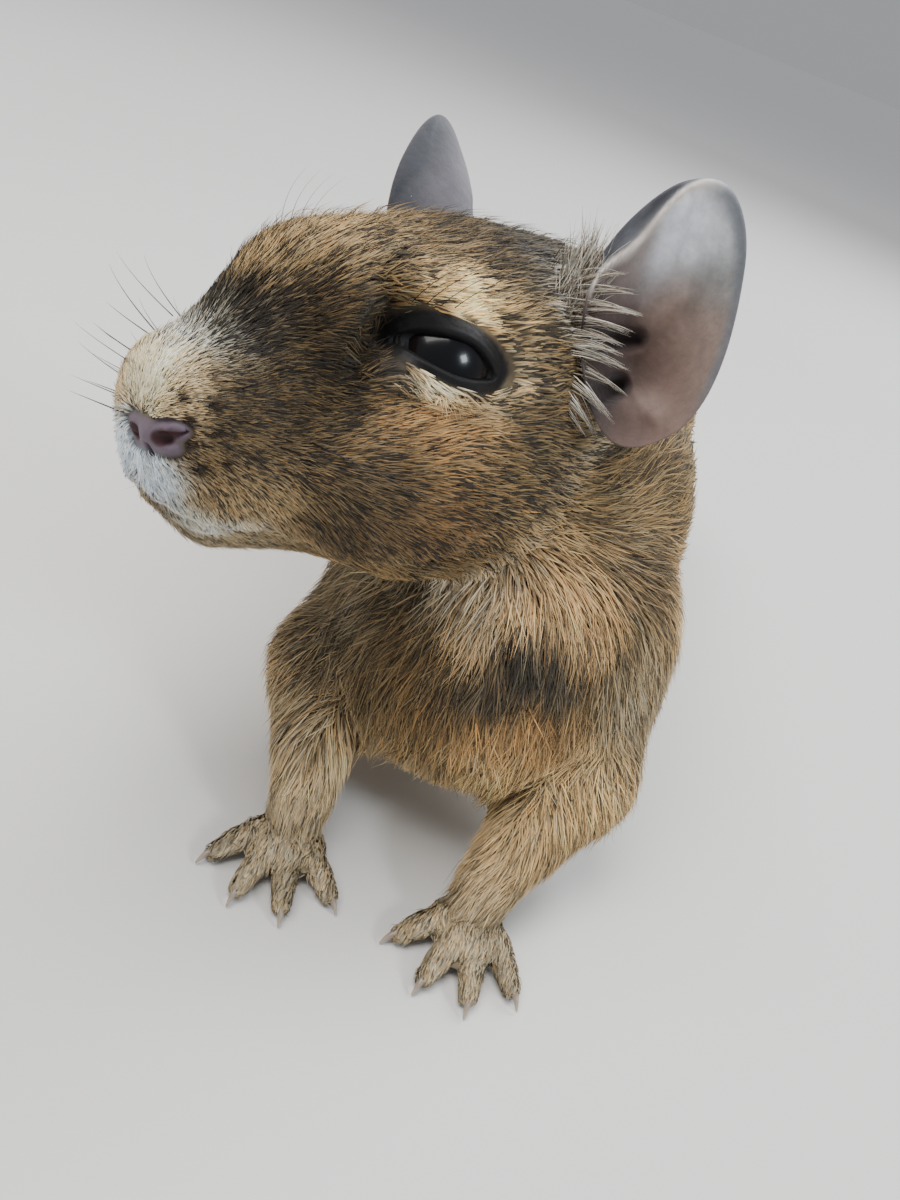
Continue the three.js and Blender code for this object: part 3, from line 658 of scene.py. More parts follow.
@dataclass
class Face:
    """The fine forms of the face: nose pad, nostrils, the groove under them, mouth line and lids."""

    mouth_sweep: float = 1.95
    nose_turn: float = 2.0
    nose_roll: float = 0.2
    nose_height: float = 0.3

    def __post_init__(self) -> None:
        """Finds the front of the nose and the line of the mouth on the head's own form."""
        self.front = self.leave((0, 8, 0.7), (0, -1, 0))[1]
        angles = np.linspace(-self.mouth_sweep, self.mouth_sweep, 33)
        lines = []
        for angle in angles:
            turn = abs(angle) / self.mouth_sweep
            start = (0, 8.6, -6.1 - 3.2 * turn**1.6)
            lines.append(self.leave(start, (math.sin(angle), -math.cos(angle), 0)))
        self.mouth = folded(np.array(lines))[: len(angles) // 2 + 1]

    def leave(self, start: Point, direction: Point, reach: float = 20.0) -> Array:
        """Where a ray from inside the head comes out of it.

        Args:
            start: A point inside, in the head's axes.
            direction: The way that the ray goes.
            reach: How far it looks.

        Returns:
            The point on the surface.
        """
        t = np.linspace(0, reach, 500)
        points = np.array(start, float) + t[:, None] * unit(direction)
        values = FLESH.head(folded(points))
        first = int(np.argmax(values > 0))
        share = -values[first - 1] / (values[first] - values[first - 1])
        return mix(points[first - 1], points[first], share)

    def nose_place(self, h: Array) -> Array:
        """Points in the nose's own axes, which turn and tip a little to the left of the head's.

        Args:
            h: Points in the head's axes.

        Returns:
            The points, with both sides laid on the left.
        """
        near = 1 - ramp(3, 9, h[:, 1])
        x, z = h[:, 0] - self.nose_turn, h[:, 2] - self.nose_height
        sin, cos = math.sin(self.nose_roll), math.cos(self.nose_roll)
        q = h.copy()
        q[:, 0] = np.abs(mix(h[:, 0], x * cos + z * sin, near))
        q[:, 2] = mix(h[:, 2], z * cos - x * sin + self.nose_height, near)
        return q

    def pad(self, q: Array) -> Array:
        """The distance to the nose pad: its middle, its wings and the lobes under the nostrils.

        Args:
            q: Points in the nose's axes.

        Returns:
            The distance at each point.
        """
        front = self.front
        forms = [
            ball(q, (0, front + 0.85, 0.1), (1.7, 1.35, 1.35)),
            ball(q, (2.0, front + 1.15, 0.7), (1.7, 1.35, 0.8)),
            ball(q, (1.7, front + 1.1, -0.7), (1.3, 1.1, 0.55)),
        ]
        return together(forms, 0.5)

    def nostril(self, q: Array) -> Array:
        """The distance to the comma of a nostril."""
        front = self.front
        pit = rod(q, (1.55, front - 0.35, -0.1), (2.5, front + 0.3, 0.2), 0.5, 0.5)
        slit = rod(q, (2.5, front + 0.3, 0.2), (3.5, front + 1.6, 0.75), 0.32, 0.14)
        return np.minimum(pit, slit)

    def groove(self, q: Array) -> Array:
        """The distance to the groove from the nose pad to the mouth."""
        above = np.maximum(q[:, 2] + 0.9, 0)
        below = np.maximum(-5.7 - q[:, 2], 0)
        return np.sqrt(q[:, 0] ** 2 + above**2 + below**2) + 4 * np.maximum(q[:, 1] - 3.5, 0)

    def lid_place(self, m: Array) -> tuple[Array, Array, Array]:
        """Where points lie by the eye.

        Args:
            m: Folded points in the head's axes.

        Returns:
            The distance from the eye's centre, how far outside the opening, and the height out of it.
        """
        q = m - np.array(SOCKET.centre)
        along, across, out = SOCKET.axes()
        reach = np.linalg.norm(q, axis=-1)
        on_lid = q * np.maximum((SOCKET.radius + SOCKET.lid) / np.maximum(reach, 0.1), 1)[:, None]
        return reach, SOCKET.outside(on_lid @ along, on_lid @ across), q @ out

    def lid_band(self, m: Array) -> Array:
        """How wide the bare dark band of the lids is: widest above and behind the eye."""
        along, across, _ = SOCKET.axes()
        q = m - np.array(SOCKET.centre)
        return 0.62 + 0.7 * ramp(-0.4, 1.4, q @ across) + 0.2 * ramp(1.5, 4.0, q @ along)

    def carve(self, h: Array, value: Array) -> Array:
        """The skin's field with the fine forms put in.

        Args:
            h: Points in the head's axes.
            value: The field there without them.

        Returns:
            The field with them.
        """
        value = value.copy()
        muzzle = h[:, 1] < 17
        q = self.nose_place(h[muzzle])
        v = value[muzzle]
        v = v - 0.4 * swell(q, (0, -0.5, 0.2), (3.4, 3.0, 2.0))
        v = union(v, self.pad(q), 0.45)
        v = without(v, self.nostril(q), 0.22)
        v = v + 0.5 * np.exp(-((self.groove(q) / 0.3) ** 2))
        mouth, _ = to_line(folded(h[muzzle]), self.mouth)
        v = v + 0.75 * np.exp(-((mouth / 0.42) ** 2))
        lip = np.exp(-(((mouth - 0.95) / 0.6) ** 2)) * ramp(-9.6, -6.5, q[:, 2])
        value[muzzle] = v - 0.22 * lip
        reach, outside, height = self.lid_place(folded(h))
        eye = (reach < 10.5) & (height > 0)
        if eye.any():
            r, s, v = reach[eye], outside[eye], value[eye]
            bead = 0.12 * np.exp(-(((s - 0.28) / 0.26) ** 2))
            crease = 0.2 * np.exp(-(((s - 1.5) / 0.4) ** 2))
            mound = r - (SOCKET.radius + SOCKET.lid + bead - crease)
            v = union(v, mound, 1.1)
            v = without(v, 0.8 * np.maximum(s, 0) - mound, 0.3)
            opening = np.maximum(s, SOCKET.radius - 0.3 - r)
            value[eye] = without(v, opening, 0.2)
        return value


FLESH = Flesh()
FACE = Face()


# Markings, shared by the skin and the coat


class Shade(Enum):
    """Display colours with names."""

    def rgb(self) -> Array:
        """The colour's red, green and blue, from 0 to 255."""
        return np.array(self.value, float)


class Tone(Shade):
    """The tones of the patches of the coat and of the ears' skin, and the painted highlight and painted shade
    of the ears' cups.
    """

    SNOW = (242, 240, 234)
    BLUE_WHITE = (202, 216, 228)
    CREAM = (238, 218, 180)
    SMOKE = (182, 182, 172)
    PALE_BUFF = (216, 182, 130)
    BUFF = (168, 136, 94)
    SAND = (158, 138, 106)
    DULL_BUFF = (140, 118, 84)
    AGOUTI = (122, 100, 68)
    ASH = (120, 110, 90)
    OCHRE = (132, 101, 64)
    RUST = (104, 77, 47)
    BROWN = (102, 84, 56)
    UMBER = (72, 60, 42)
    SOOT = (56, 53, 46)
    DARK_BROWN = (42, 34, 22)
    # A painted highlight: the bright sheen of light on the upper inside of the ear.
    SHEEN = (232, 240, 248)
    PEARL = (158, 162, 166)
    CLOUD = (118, 122, 122)
    ROSE_PALE = (158, 142, 134)
    ROSE_GREY = (130, 111, 101)
    ROSE_DARK = (96, 77, 69)
    # The next two tones are painted shade for the deep parts of the ear's cup.
    CUP_SHADE = (64, 46, 40)
    SHADOW = (34, 24, 21)


class Paint(Shade):
    """The colours of bare skin, horn, the eyes and hairs that stand on their own, and the painted shade of
    the ears' canals.
    """

    NOSE = (98, 86, 96)
    GROOVE = (62, 50, 54)
    LIP = (84, 56, 52)
    NOSTRIL = (52, 26, 30)
    LID = (15, 14, 15)
    EYE_BALL = (9, 9, 12)
    IRIS = (20, 16, 15)
    WHISKER_ROOT = (34, 27, 22)
    BLACK_HAIR = (26, 22, 20)
    BLACK_TICK = (30, 27, 24)
    BROWN_BRISTLE = (92, 72, 52)
    PALE_HAIR = (204, 198, 184)
    BROWN_HAIR = (108, 90, 68)
    TAIL_TOP = (74, 58, 42)
    TAIL_UNDER = (150, 128, 96)
    EAR_CANAL_SHADE = (30, 18, 17)
    # Near-black painted shade for the slots that lead into the ear.
    EAR_MARGIN = (74, 77, 84)
    EAR_CREST = (214, 205, 194)
    EAR_REAR_RIM = (92, 98, 106)
    EAR_BACK = (92, 90, 96)
    EAR_BACK_RIM = (58, 60, 66)
    EAR_BACK_ROOT = (118, 100, 96)
    CLAW_ROOT = (92, 78, 68)
    CLAW_TIP = (176, 160, 140)


@dataclass(frozen=True)
class Mark:
    """A patch: where it lies, how far it spreads, its tone, its share of dark tufts and its strength."""

    centre: Point
    spread: Point
    tone: Tone
    dark: float = 0.25
    weight: float = 1.0


HEAD_MARKS = {
    # The cream on the top of the nose is partly the fur's own pale tone and partly a painted highlight where
    # light falls on the nose.
    "cream_nose": Mark((0.3, -0.2, 4.8), (3, 1.9, 1.6), Tone.CREAM, 0.02, 1.5),
    "cream_nose_side": Mark((4.6, 1.2, 3.2), (1.4, 1.8, 1.8), Tone.SAND, 0.12),
    "white_lip": Mark((2, -0.4, -2.8), (1.9, 1.4, 1.6), Tone.BLUE_WHITE, 0, 1.8),
    "white_lip_back": Mark((5.2, 2.6, -6.4), (1.5, 3.4, 0.8), Tone.SMOKE, 0.03, 1.4),
    "smudge": Mark((2.7, 6.5, 9.6), (1.9, 1.5, 1.6), Tone.SOOT, 0.7, 1.6),
    "nose_up": Mark((0.4, 4.4, 8), (2.4, 1.6, 1.5), Tone.SMOKE, 0.35, 1.3),
    "bridge": Mark((1.5, 12, 13.2), (3.2, 4.2, 3), Tone.DULL_BUFF, 0.42),
    "bridge_side": Mark((6.8, 11.8, 10.6), (2, 4.6, 2.6), Tone.DARK_BROWN, 0.6, 1.2),
    "tear_line": Mark((9, 14.5, 8.8), (1.8, 3.6, 1.7), Tone.UMBER, 0.7, 1.2),
    "brow": Mark((3.6, 18.5, 16.2), (4, 5, 2.6), Tone.DULL_BUFF, 0.42),
    "pale_over_eye": Mark((10.5, 22.9, 12.9), (2.4, 2.2, 1.5), Tone.PALE_BUFF, 0, 2.6),
    "behind_eye": Mark((12.4, 29.6, 10.4), (2.2, 2, 3.4), Tone.DULL_BUFF, 0.45, 1.7),
    "behind_eye_low": Mark((14.6, 30.4, 4.6), (1.8, 2.2, 2.6), Tone.UMBER, 0.5, 1.2),
    "crown": Mark((3.5, 29, 17.6), (5.2, 6.5, 3), Tone.UMBER, 0.55),
    "crown_back": Mark((4, 38.5, 16.6), (6, 5, 4), Tone.SOOT, 0.55),
    "whisker_pad": Mark((7.2, 5.8, 2.4), (2.2, 3.4, 3.2), Tone.UMBER, 0.45, 1.3),
    "muzzle_low": Mark((7.6, 5.6, -3), (2, 3, 1.9), Tone.DULL_BUFF, 0.25, 1.1),
    "under_eye": Mark((12.5, 21.8, 6.7), (1.5, 4.2, 0.7), Tone.CREAM, 0, 2.3),
    "under_eye_back": Mark((13.6, 25.6, 5.2), (1.6, 2.6, 1.3), Tone.SAND, 0.06, 1.2),
    "cheek_ochre": Mark((13.3, 21.8, 3.4), (2.2, 3.6, 1.7), Tone.OCHRE, 0.1, 1.4),
    "cheek_dark": Mark((12.8, 14.2, -3.6), (2.6, 5.6, 3.2), Tone.UMBER, 0.45),
    "cheek_orange": Mark((15, 20.6, -5.4), (2.2, 3.6, 2.6), Tone.RUST, 0.3, 1.1),
    "cheek_back": Mark((15.6, 30.4, -1), (3.4, 5.4, 5), Tone.BROWN, 0.48),
    "by_ear": Mark((14.6, 36.8, 4.6), (2.6, 3.2, 5.6), Tone.BROWN, 0.3),
    "below_ear": Mark((15.6, 44, -4.6), (4.6, 4.6, 4.2), Tone.SMOKE, 0.42),
    "ear_front": Mark((9.4, 38.6, 14.6), (3, 2.4, 2.6), Tone.SNOW, 0.04, 1.8),
    "jaw_line": Mark((10.6, 17.5, -10.6), (4.6, 8.5, 1.5), Tone.BROWN, 0.2, 1.4),
    "jaw_back": Mark((14.6, 29, -11.4), (3.4, 5, 2), Tone.UMBER, 0.2, 1.1),
    "chin": Mark((0, 7, -10.6), (4.4, 6, 2), Tone.ASH, 0.2, 1.3),
    "throat": Mark((0, 26, -15), (9, 9, 4), Tone.DULL_BUFF, 0.25),
}
HEAD_BASE = Mark((0, 0, 0), (1, 1, 1), Tone.AGOUTI, 0.42, 0.12)

EAR_MARKS = {
    # The two sheen marks are a painted highlight on the upper inside of the ear.
    "tip_sheen": Mark((4.6, 15.6, 0), (2.2, 2.4, 9), Tone.SHEEN, 0, 1.6),
    "front_sheen": Mark((1.4, 11.4, 0), (1.5, 2, 9), Tone.SHEEN, 0, 1.1),
    "front_band": Mark((-0.3, 13.2, 0), (0.7, 2.4, 9), Tone.ROSE_GREY, 0, 1.6),
    "front_low": Mark((-1.4, 8.2, 0), (1.2, 1.8, 9), Tone.ROSE_PALE, 0),
    "cloud": Mark((7.6, 11.2, 0), (1.5, 1.9, 9), Tone.CLOUD, 0, 1.2),
    "rear_edge": Mark((9, 14.2, 0), (1.2, 2.4, 9), Tone.PEARL, 0, 0.9),
    "middle": Mark((4.4, 8, 0), (2.4, 2, 9), Tone.ROSE_GREY, 0, 1.3),
    "rear_middle": Mark((7.4, 6.4, 0), (1.6, 2.6, 9), Tone.ROSE_GREY, 0),
    # The hollow, low hollow, shadow and notch marks are painted shade in the deep parts of the cup, behind
    # the locks of hair and round the canals.
    "deep_cup_shade": Mark((0.6, 4, 0), (2.4, 3.4, 9), Tone.CUP_SHADE, 0, 1.5),
    "low_cup_shade": Mark((3.6, 3.6, 0), (2.2, 1.6, 9), Tone.ROSE_DARK, 0),
    "lobe": Mark((6.4, 0.6, 0), (2, 2.4, 9), Tone.ROSE_DARK, 0),
    "shadow": Mark((-1.4, 2.6, 0), (2.3, 4.2, 9), Tone.SHADOW, 0, 3),
    "low_fold": Mark((4.2, -0.2, 0), (1.6, 0.9, 9), Tone.ROSE_PALE, 0, 0.9),
    "notch": Mark((2.6, -2.6, 0), (2.4, 1.1, 9), Tone.CUP_SHADE, 0, 1.2),
}
EAR_BASE = Mark((0, 0, 0), (1, 1, 1), Tone.ROSE_GREY, 0, 0.15)

BODY_MARKS = {
    "neck_band": Mark((1.5, -19.5, 37.5), (6.5, 4.5, 3.4), Tone.BUFF, 0.08, 1.6),
    "neck_band_up": Mark((10, -12, 44), (4, 5, 5), Tone.DULL_BUFF, 0.3),
    "dark_side": Mark((11.8, -11.5, 37.6), (3, 3.6, 4), Tone.UMBER, 0.6, 1.3),
    "right_edge": Mark((15.6, -8, 36), (2.4, 4, 7), Tone.BUFF, 0.08, 1.4),
    "shoulder_grey": Mark((16.4, -12.5, 27.5), (3.6, 5, 5), Tone.ASH, 0.15, 1.4),
    # Darker patches in a V where the throat meets the shoulders.
    "dark_below_throat": Mark((-2.4, -24.4, 25.6), (2.6, 3, 1.5), Tone.SOOT, 0.75, 1.9),
    "dark_below_throat_up": Mark((2, -23, 30), (3.2, 3, 1.6), Tone.SOOT, 0.7, 1.9),
    "collar_buff": Mark((-4.6, -23.8, 29.6), (1.8, 3, 1.7), Tone.BUFF, 0.1, 1.8),
    "dark_below_throat_right": Mark((-12.4, -20.2, 26.8), (2.5, 3, 2.5), Tone.BROWN, 0.5, 1.4),
    "throat_grey": Mark((-9.5, -18.5, 36), (4.6, 4.6, 3.2), Tone.SMOKE, 0.25),
    "throat_side": Mark((-17, -15, 26), (4.5, 5, 7), Tone.ASH, 0.35),
    "chest_ochre": Mark((1.8, -24, 21.2), (5.6, 4.4, 3), Tone.OCHRE, 0.12, 1.6),
    "chest_middle": Mark((-7.5, -22, 19.5), (5.5, 5, 5), Tone.BROWN, 0.3, 1.2),
    "chest_low": Mark((8.5, -22.5, 15.8), (6, 5, 3), Tone.PALE_BUFF, 0.1, 1.5),
    "chest_under": Mark((-3, -18, 8), (10, 9, 4), Tone.SAND, 0.15, 1.2),
    "arm_left": Mark((9.5, -21, 10), (5, 6, 4), Tone.BROWN, 0.25, 1.3),
    "arm_right": Mark((-17, -19.5, 10), (5, 6, 4), Tone.SAND, 0.25, 1.3),
    "paw_left": Mark((7.2, -31, 2.5), (6, 6, 3), Tone.ASH, 0.05, 2.2),
    "paw_right": Mark((-15, -29.5, 2.5), (6, 6, 3), Tone.ASH, 0.05, 2.2),
    "hind_foot_left": Mark((15, 70, 1.5), (6, 13, 2.4), Tone.SAND, 0.06, 3),
    "hind_foot_right": Mark((-25.5, 69, 1.5), (6, 13, 2.4), Tone.SAND, 0.06, 3),
    "back": Mark((-3, 36, 54), (13, 34, 8), Tone.BROWN, 0.5, 1.6),
    "rump": Mark((-5.5, 84, 38), (14, 12, 12), Tone.AGOUTI, 0.46, 1.3),
    "flank_left": Mark((17, 36, 26), (7, 26, 9), Tone.DULL_BUFF, 0.32, 1.2),
    "flank_right": Mark((-23, 40, 26), (7, 26, 9), Tone.DULL_BUFF, 0.32, 1.2),
    "belly": Mark((-2, 30, 7), (14, 30, 4), Tone.PALE_BUFF, 0.06, 2.2),
    "thigh_left": Mark((19, 70, 20), (6, 14, 10), Tone.DULL_BUFF, 0.34),
    "thigh_right": Mark((-29, 70, 20), (6, 14, 10), Tone.DULL_BUFF, 0.34),
}
FOLLICLES: tuple[Point, ...] = (
    *((4.8, 0.6, 3.9), (5.2, 2.9, 5.7), (5.4, 4.9, 7.2)),
    *((5.6, 0.9, 2.2), (6.2, 2.5, 3.7), (6.6, 4.8, 4.9), (6.6, 7.1, 6.0)),
    *((6.0, 0.9, 0.4), (6.9, 2.6, 1.7), (7.4, 4.6, 2.6), (7.7, 6.8, 3.4), (8.1, 9.3, 4.0)),
    *((6.6, 1.5, -1.3), (7.5, 3.3, -0.6), (8.0, 5.4, 0.0), (8.4, 7.7, 0.6), (8.9, 10.2, 1.0)),
)
BODY_BASE = Mark((0, 0, 0), (1, 1, 1), Tone.AGOUTI, 0.4, 0.12)
BARE_SKIN = {
    "nose": Paint.NOSE,
    "groove": Paint.GROOVE,
    "lip": Paint.LIP,
    "nostril": Paint.NOSTRIL,
    "lid": Paint.LID,
}


def marked(p: Array, marks: dict[str, Mark], base: Mark) -> tuple[Array, Array]:
    """The coat's colour and its share of dark tufts from its patches.

    Args:
        p: Points in the patches' axes.
        marks: The patches.
        base: What shows where no patch lies.

    Returns:
        A display colour and a share for each point.
    """
    weight = np.full(len(p), base.weight)
    colour = weight[:, None] * base.tone.rgb()
    dark = weight * base.dark
    for mark in marks.values():
        w = mark.weight * swell(p, mark.centre, mark.spread)
        weight = weight + w
        colour = colour + w[:, None] * mark.tone.rgb()
        dark = dark + w * mark.dark
    return colour / weight[:, None], dark / weight


def markings(p: Array) -> tuple[Array, Array]:
    """The coat's display colour and its share of dark tufts anywhere on the animal.

    Args:
        p: Points of the animal.

    Returns:
        A display colour and a share for each point.
    """
    wander = np.stack([noise(p, 3.2, turn) for turn in (1, 2, 3)], axis=-1)
    h = folded(HEAD.into(p + 0.9 * wander))
    head_colour, head_dark = marked(h, HEAD_MARKS, HEAD_BASE)
    body_colour, body_dark = marked(p + 1.9 * wander, BODY_MARKS, BODY_BASE)
    tail = ramp(94, 102, p[:, 1])[:, None]
    under = ramp(0.2, 2.6, p[:, 2])[:, None]
    tail_colour = mix(Paint.TAIL_UNDER.rgb(), Paint.TAIL_TOP.rgb(), under)
    body_colour = mix(body_colour, tail_colour, tail)
    body_dark = mix(body_dark, 0.5, tail[:, 0])
    head = head_side(p + 1.5 * wander, 7.0)
    colour = mix(body_colour, head_colour, head[:, None])
    dark = mix(body_dark, head_dark, head)
    blotch = noise(p, 2.1, 5) * 0.5 + noise(p, 5.5, 6) * 0.5
    colour = colour * (1 + 0.14 * blotch[:, None])
    spot = 0.85 * follicle_spots(p)
    colour = mix(colour, Paint.WHISKER_ROOT.rgb(), spot[:, None])
    return colour, np.clip(dark * (1 - 0.5 * blotch), 0, 1)


def follicle_spots(p: Array) -> Array:
    """How near points are to a whisker's root, from 0 to 1.

    Args:
        p: Points of the animal.

    Returns:
        The nearness of each point.
    """
    m = folded(HEAD.into(p))
    near = np.full(len(p), 1e9)
    muzzle = (m[:, 1] < 14) & (head_side(p, 4.0) > 0)
    for root in FOLLICLES:
        near[muzzle] = np.minimum(near[muzzle], np.linalg.norm(m[muzzle] - np.array(root), axis=-1))
    return 1 - ramp(0.3, 0.75, near)


def bare_zones(p: Array) -> dict[str, Array]:
    """Where the skin shows without a coat.

    Args:
        p: Points on the skin.

    Returns:
        A share from 0 to 1 for each kind of bare skin.
    """
    h = HEAD.into(p)
    close = (h[:, 1] < FINE_FACE) & (head_side(p, 4.0) > 0)
    zones = {name: np.zeros(len(p)) for name in BARE_SKIN}
    if not close.any():
        return zones
    m = folded(h[close])
    q = FACE.nose_place(h[close])
    zones["nose"][close] = 1 - ramp(0.05, 0.4, FACE.pad(q))
    zones["nostril"][close] = 1 - ramp(-0.05, 0.3, FACE.nostril(q))
    zones["groove"][close] = 1 - ramp(0.16, 0.46, FACE.groove(q))
    mouth, _ = to_line(m, FACE.mouth)
    zones["lip"][close] = (1 - ramp(0.25, 0.65, mouth)) * (m[:, 1] < 16)
    reach, outside, height = FACE.lid_place(m)
    lid = (1 - ramp(-0.1, 0.6, outside - FACE.lid_band(m))) * (height > 0) * (reach < EYE_REACH)
    corner = ball(m, corner_place(), (0.9, 1.9, 0.8))
    zones["lid"][close] = np.maximum(lid, (1 - ramp(-0.2, 0.6, corner)) * (height > 0))
    return zones


def corner_place() -> Array:
    """The dark skin just before the front corner of the eye, in the head's axes."""
    along, _, out = SOCKET.axes()
    return np.array(SOCKET.centre) + along * (SOCKET.almond[0][0] - 0.4) + out * 2.9


def skin_colour(p: Array) -> Array:
    """The skin's display colour: its markings, darker under the coat, and its bare places.

    Args:
        p: Points on the skin.

    Returns:
        A display colour for each point.
    """
    colour, dark = markings(p)
    foot = 1 - ramp(3.5, 8.0, p[:, 2])
    colour = colour * mix(0.62 - 0.2 * dark, 0.9, foot)[:, None]
    zones = bare_zones(p)
    for name, paint_of in BARE_SKIN.items():
        colour = mix(colour, paint_of.rgb(), zones[name][:, None])
    return colour


# Finishes


def feed(tree: bpy.types.NodeTree, node: bpy.types.Node, inputs: dict[str | int, object]) -> None:
    """Sets or links inputs of a node.

    Args:
        tree: The nodes that it belongs to.
        node: The node.
        inputs: For an input's name or number, a value or the socket that feeds it.
    """
    for name, value in inputs.items():
        if isinstance(value, bpy.types.NodeSocket):
            tree.links.new(value, node.inputs[name])
        else:
            node.inputs[name].default_value = value


def add_node(
    tree: bpy.types.NodeTree, kind: str, inputs: dict[str | int, object], **settings: object
) -> bpy.types.Node:
    """Adds a shader node.

    Args:
        tree: The nodes that it joins.
        kind: The end of its kind's name.
        inputs: Its inputs, as feed takes them.
        settings: Its own settings.

    Returns:
        The node.
    """
    node = tree.nodes.new(f"ShaderNode{kind}")
    for name, value in settings.items():
        setattr(node, name, value)
    feed(tree, node, inputs)
    return node


def grain_group() -> bpy.types.NodeTree:
    """The grain that skin, coat and ears share: small changes of colour, gloss and height."""
    if "fine_grain" in bpy.data.node_groups:
        return bpy.data.node_groups["fine_grain"]
    group = bpy.data.node_groups.new("fine_grain", "ShaderNodeTree")
    group.interface.new_socket(name="Colour", in_out="INPUT", socket_type="NodeSocketColor")
    for name, default in (("Size", 900.0), ("Contrast", 0.2), ("Gloss", 0.6), ("Dryness", 0.15)):
        socket = group.interface.new_socket(name=name, in_out="INPUT", socket_type="NodeSocketFloat")
        socket.default_value = default
    for name, kind in (("Colour", "Color"), ("Roughness", "Float"), ("Height", "Float")):
        group.interface.new_socket(name=name, in_out="OUTPUT", socket_type=f"NodeSocket{kind}")
    given = group.nodes.new("NodeGroupInput").outputs
    place = add_node(group, "TexCoord", {}).outputs["Object"]
    grain = {"Vector": place, "Scale": given["Size"], "Detail": 4.0}
    fine = add_node(group, "TexNoise", grain).outputs["Fac"]
    centred = add_node(group, "Math", {0: fine, 1: 0.5}, operation="SUBTRACT").outputs[0]
    shares = []
    for scale, level in ((given["Contrast"], 1.0), (given["Dryness"], given["Gloss"])):
        sums = add_node(group, "Math", {0: centred, 1: scale, 2: level}, operation="MULTIPLY_ADD")
        shares.append(sums.outputs[0])
    tint = add_node(group, "VectorMath", {0: given["Colour"], "Scale": shares[0]}, operation="SCALE")
    results = {"Colour": tint.outputs["Vector"], "Roughness": shares[1], "Height": fine}
    feed(group, group.nodes.new("NodeGroupOutput"), results)
    return group


@dataclass(frozen=True)
class Finish:
    """A painted finish: the piece's own colours with grain of a size and contrast, gloss and relief."""

    name: str
    size: float
    contrast: float
    gloss: float
    dryness: float
    specular: float
    relief: float = 0.0
    sheen: float = 0.0
    coat: float = 0.0
    scatter: float = 0.0

    def material(self) -> bpy.types.Material:
        """The finish as a Blender material."""
        if self.name in bpy.data.materials:
            return bpy.data.materials[self.name]
        made = bpy.data.materials.new(self.name)
        made.use_nodes = True
        tree = made.node_tree
        colour = add_node(tree, "Attribute", {}, attribute_name="coat_colour").outputs["Color"]
        numbers = {name.title(): getattr(self, name) for name in ("size", "contrast", "gloss", "dryness")}
        grain = add_node(tree, "Group", {}, node_tree=grain_group())
        feed(tree, grain, {"Colour": colour, **numbers})
        inputs = {
            "Base Color": grain.outputs["Colour"],
            "Roughness": grain.outputs["Roughness"],
            "Specular IOR Level": self.specular,
            "Sheen Weight": self.sheen,
            "Coat Weight": self.coat,
            "Coat Roughness": 0.04,
        }
        if self.relief > 0:
            relief = {"Strength": 0.6, "Distance": self.relief * MM, "Height": grain.outputs["Height"]}
            inputs["Normal"] = add_node(tree, "Bump", relief).outputs["Normal"]
        if self.scatter:
            inputs["Subsurface Weight"] = self.scatter
            inputs["Subsurface Radius"] = (1.0, 0.35, 0.25)
            inputs["Subsurface Scale"] = 0.8 * MM
        feed(tree, tree.nodes["Principled BSDF"], inputs)
        return made


class Finishes(Enum):
    """The finishes of the animal: name, grain's size and contrast, gloss, dryness and what each adds."""

    SKIN = Finish("furred_skin", 1500, 0.5, 0.6, 0.3, specular=0.22, relief=0.12, scatter=0.1)
    FUR = Finish("agouti_coat", 420, 0.4, 0.62, 0.2, specular=0.2)
    EAR = Finish("ear_membrane", 1300, 0.5, 0.68, 0.2, specular=0.2, relief=0.14, sheen=0.3, scatter=0.12)
    EYE = Finish("wet_eye", 300, 0.3, 0.2, 0.03, specular=0.24, coat=0.12)
    WHISKER = Finish("whisker_hair", 300, 0.3, 0.35, 0.1, specular=0.5)
    CLAW = Finish("claw_horn", 800, 0.4, 0.35, 0.2, specular=0.5, relief=0.04, coat=0.2)


# Meshes


def placed(points: Array) -> Array:
    """The animal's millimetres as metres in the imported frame."""
    return (np.asarray(points) + SHIFT) * MM


def places_of(bm: bmesh.types.BMesh) -> Array:
    """The places of a bmesh's vertices."""
    return np.array([vertex.co[:] for vertex in bm.verts])


def put(bm: bmesh.types.BMesh, places: Array) -> None:
    """Puts each vertex of a bmesh at a place."""
    for vertex, place in zip(bm.verts, places):
        vertex.co = place


def meshed(name: str, bm: bmesh.types.BMesh) -> bpy.types.Mesh:
    """A bmesh as a mesh with a name."""
    mesh = bpy.data.meshes.new(name)
    bm.to_mesh(mesh)
    bm.free()
    return mesh


def shown(name: str, data: bpy.types.ID) -> bpy.types.Object:
    """A new object in the scene."""
    made = bpy.data.objects.new(name, data)
    bpy.context.scene.collection.objects.link(made)
    return made


def read(items: bpy.types.bpy_prop_collection, name: str, width: int, kind: type = np.float32) -> Array:
    """A value of each item of a mesh, of so many numbers."""
    values = np.empty(len(items) * width, kind)
    items.foreach_get(name, values)
    return values.reshape(-1, width)


def paint(mesh: bpy.types.Mesh, colour: Array) -> None:
    """Gives each vertex of a mesh its display colour.

    Args:
        mesh: The mesh.
        colour: One display colour a vertex.
    """
    layer = mesh.attributes.new("coat_colour", "FLOAT_COLOR", "POINT")
    values = np.ones((len(mesh.vertices), 4), np.float32)
    values[:, :3] = linear(colour)
    layer.data.foreach_set("color", values.ravel())


def bake_map(mesh: bpy.types.Mesh, places: Array) -> None:
    """Gives a mesh the UV map that its colours are baked in, with a place for each corner of its faces."""
    mesh.uv_layers.new(name="OFBake").data.foreach_set("uv", places.astype(np.float32).ravel())


def own(name: str, mesh: bpy.types.Mesh, finish: Finishes) -> bpy.types.Object:
    """Makes a mesh a piece of the model.

    Args:
        name: The piece's name.
        mesh: Its mesh, in place.
        finish: Its finish.

    Returns:
        The piece, riding on the one body.
    """
    piece = shown(name, mesh)
    mesh.materials.clear()
    mesh.materials.append(finish.value.material())
    mesh.polygons.foreach_set("use_smooth", np.ones(len(mesh.polygons), bool))
    mesh.update()
    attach(piece, "root")
    log.info("%s: %d triangles", name, len(mesh.loops) - 2 * len(mesh.polygons))
    return piece


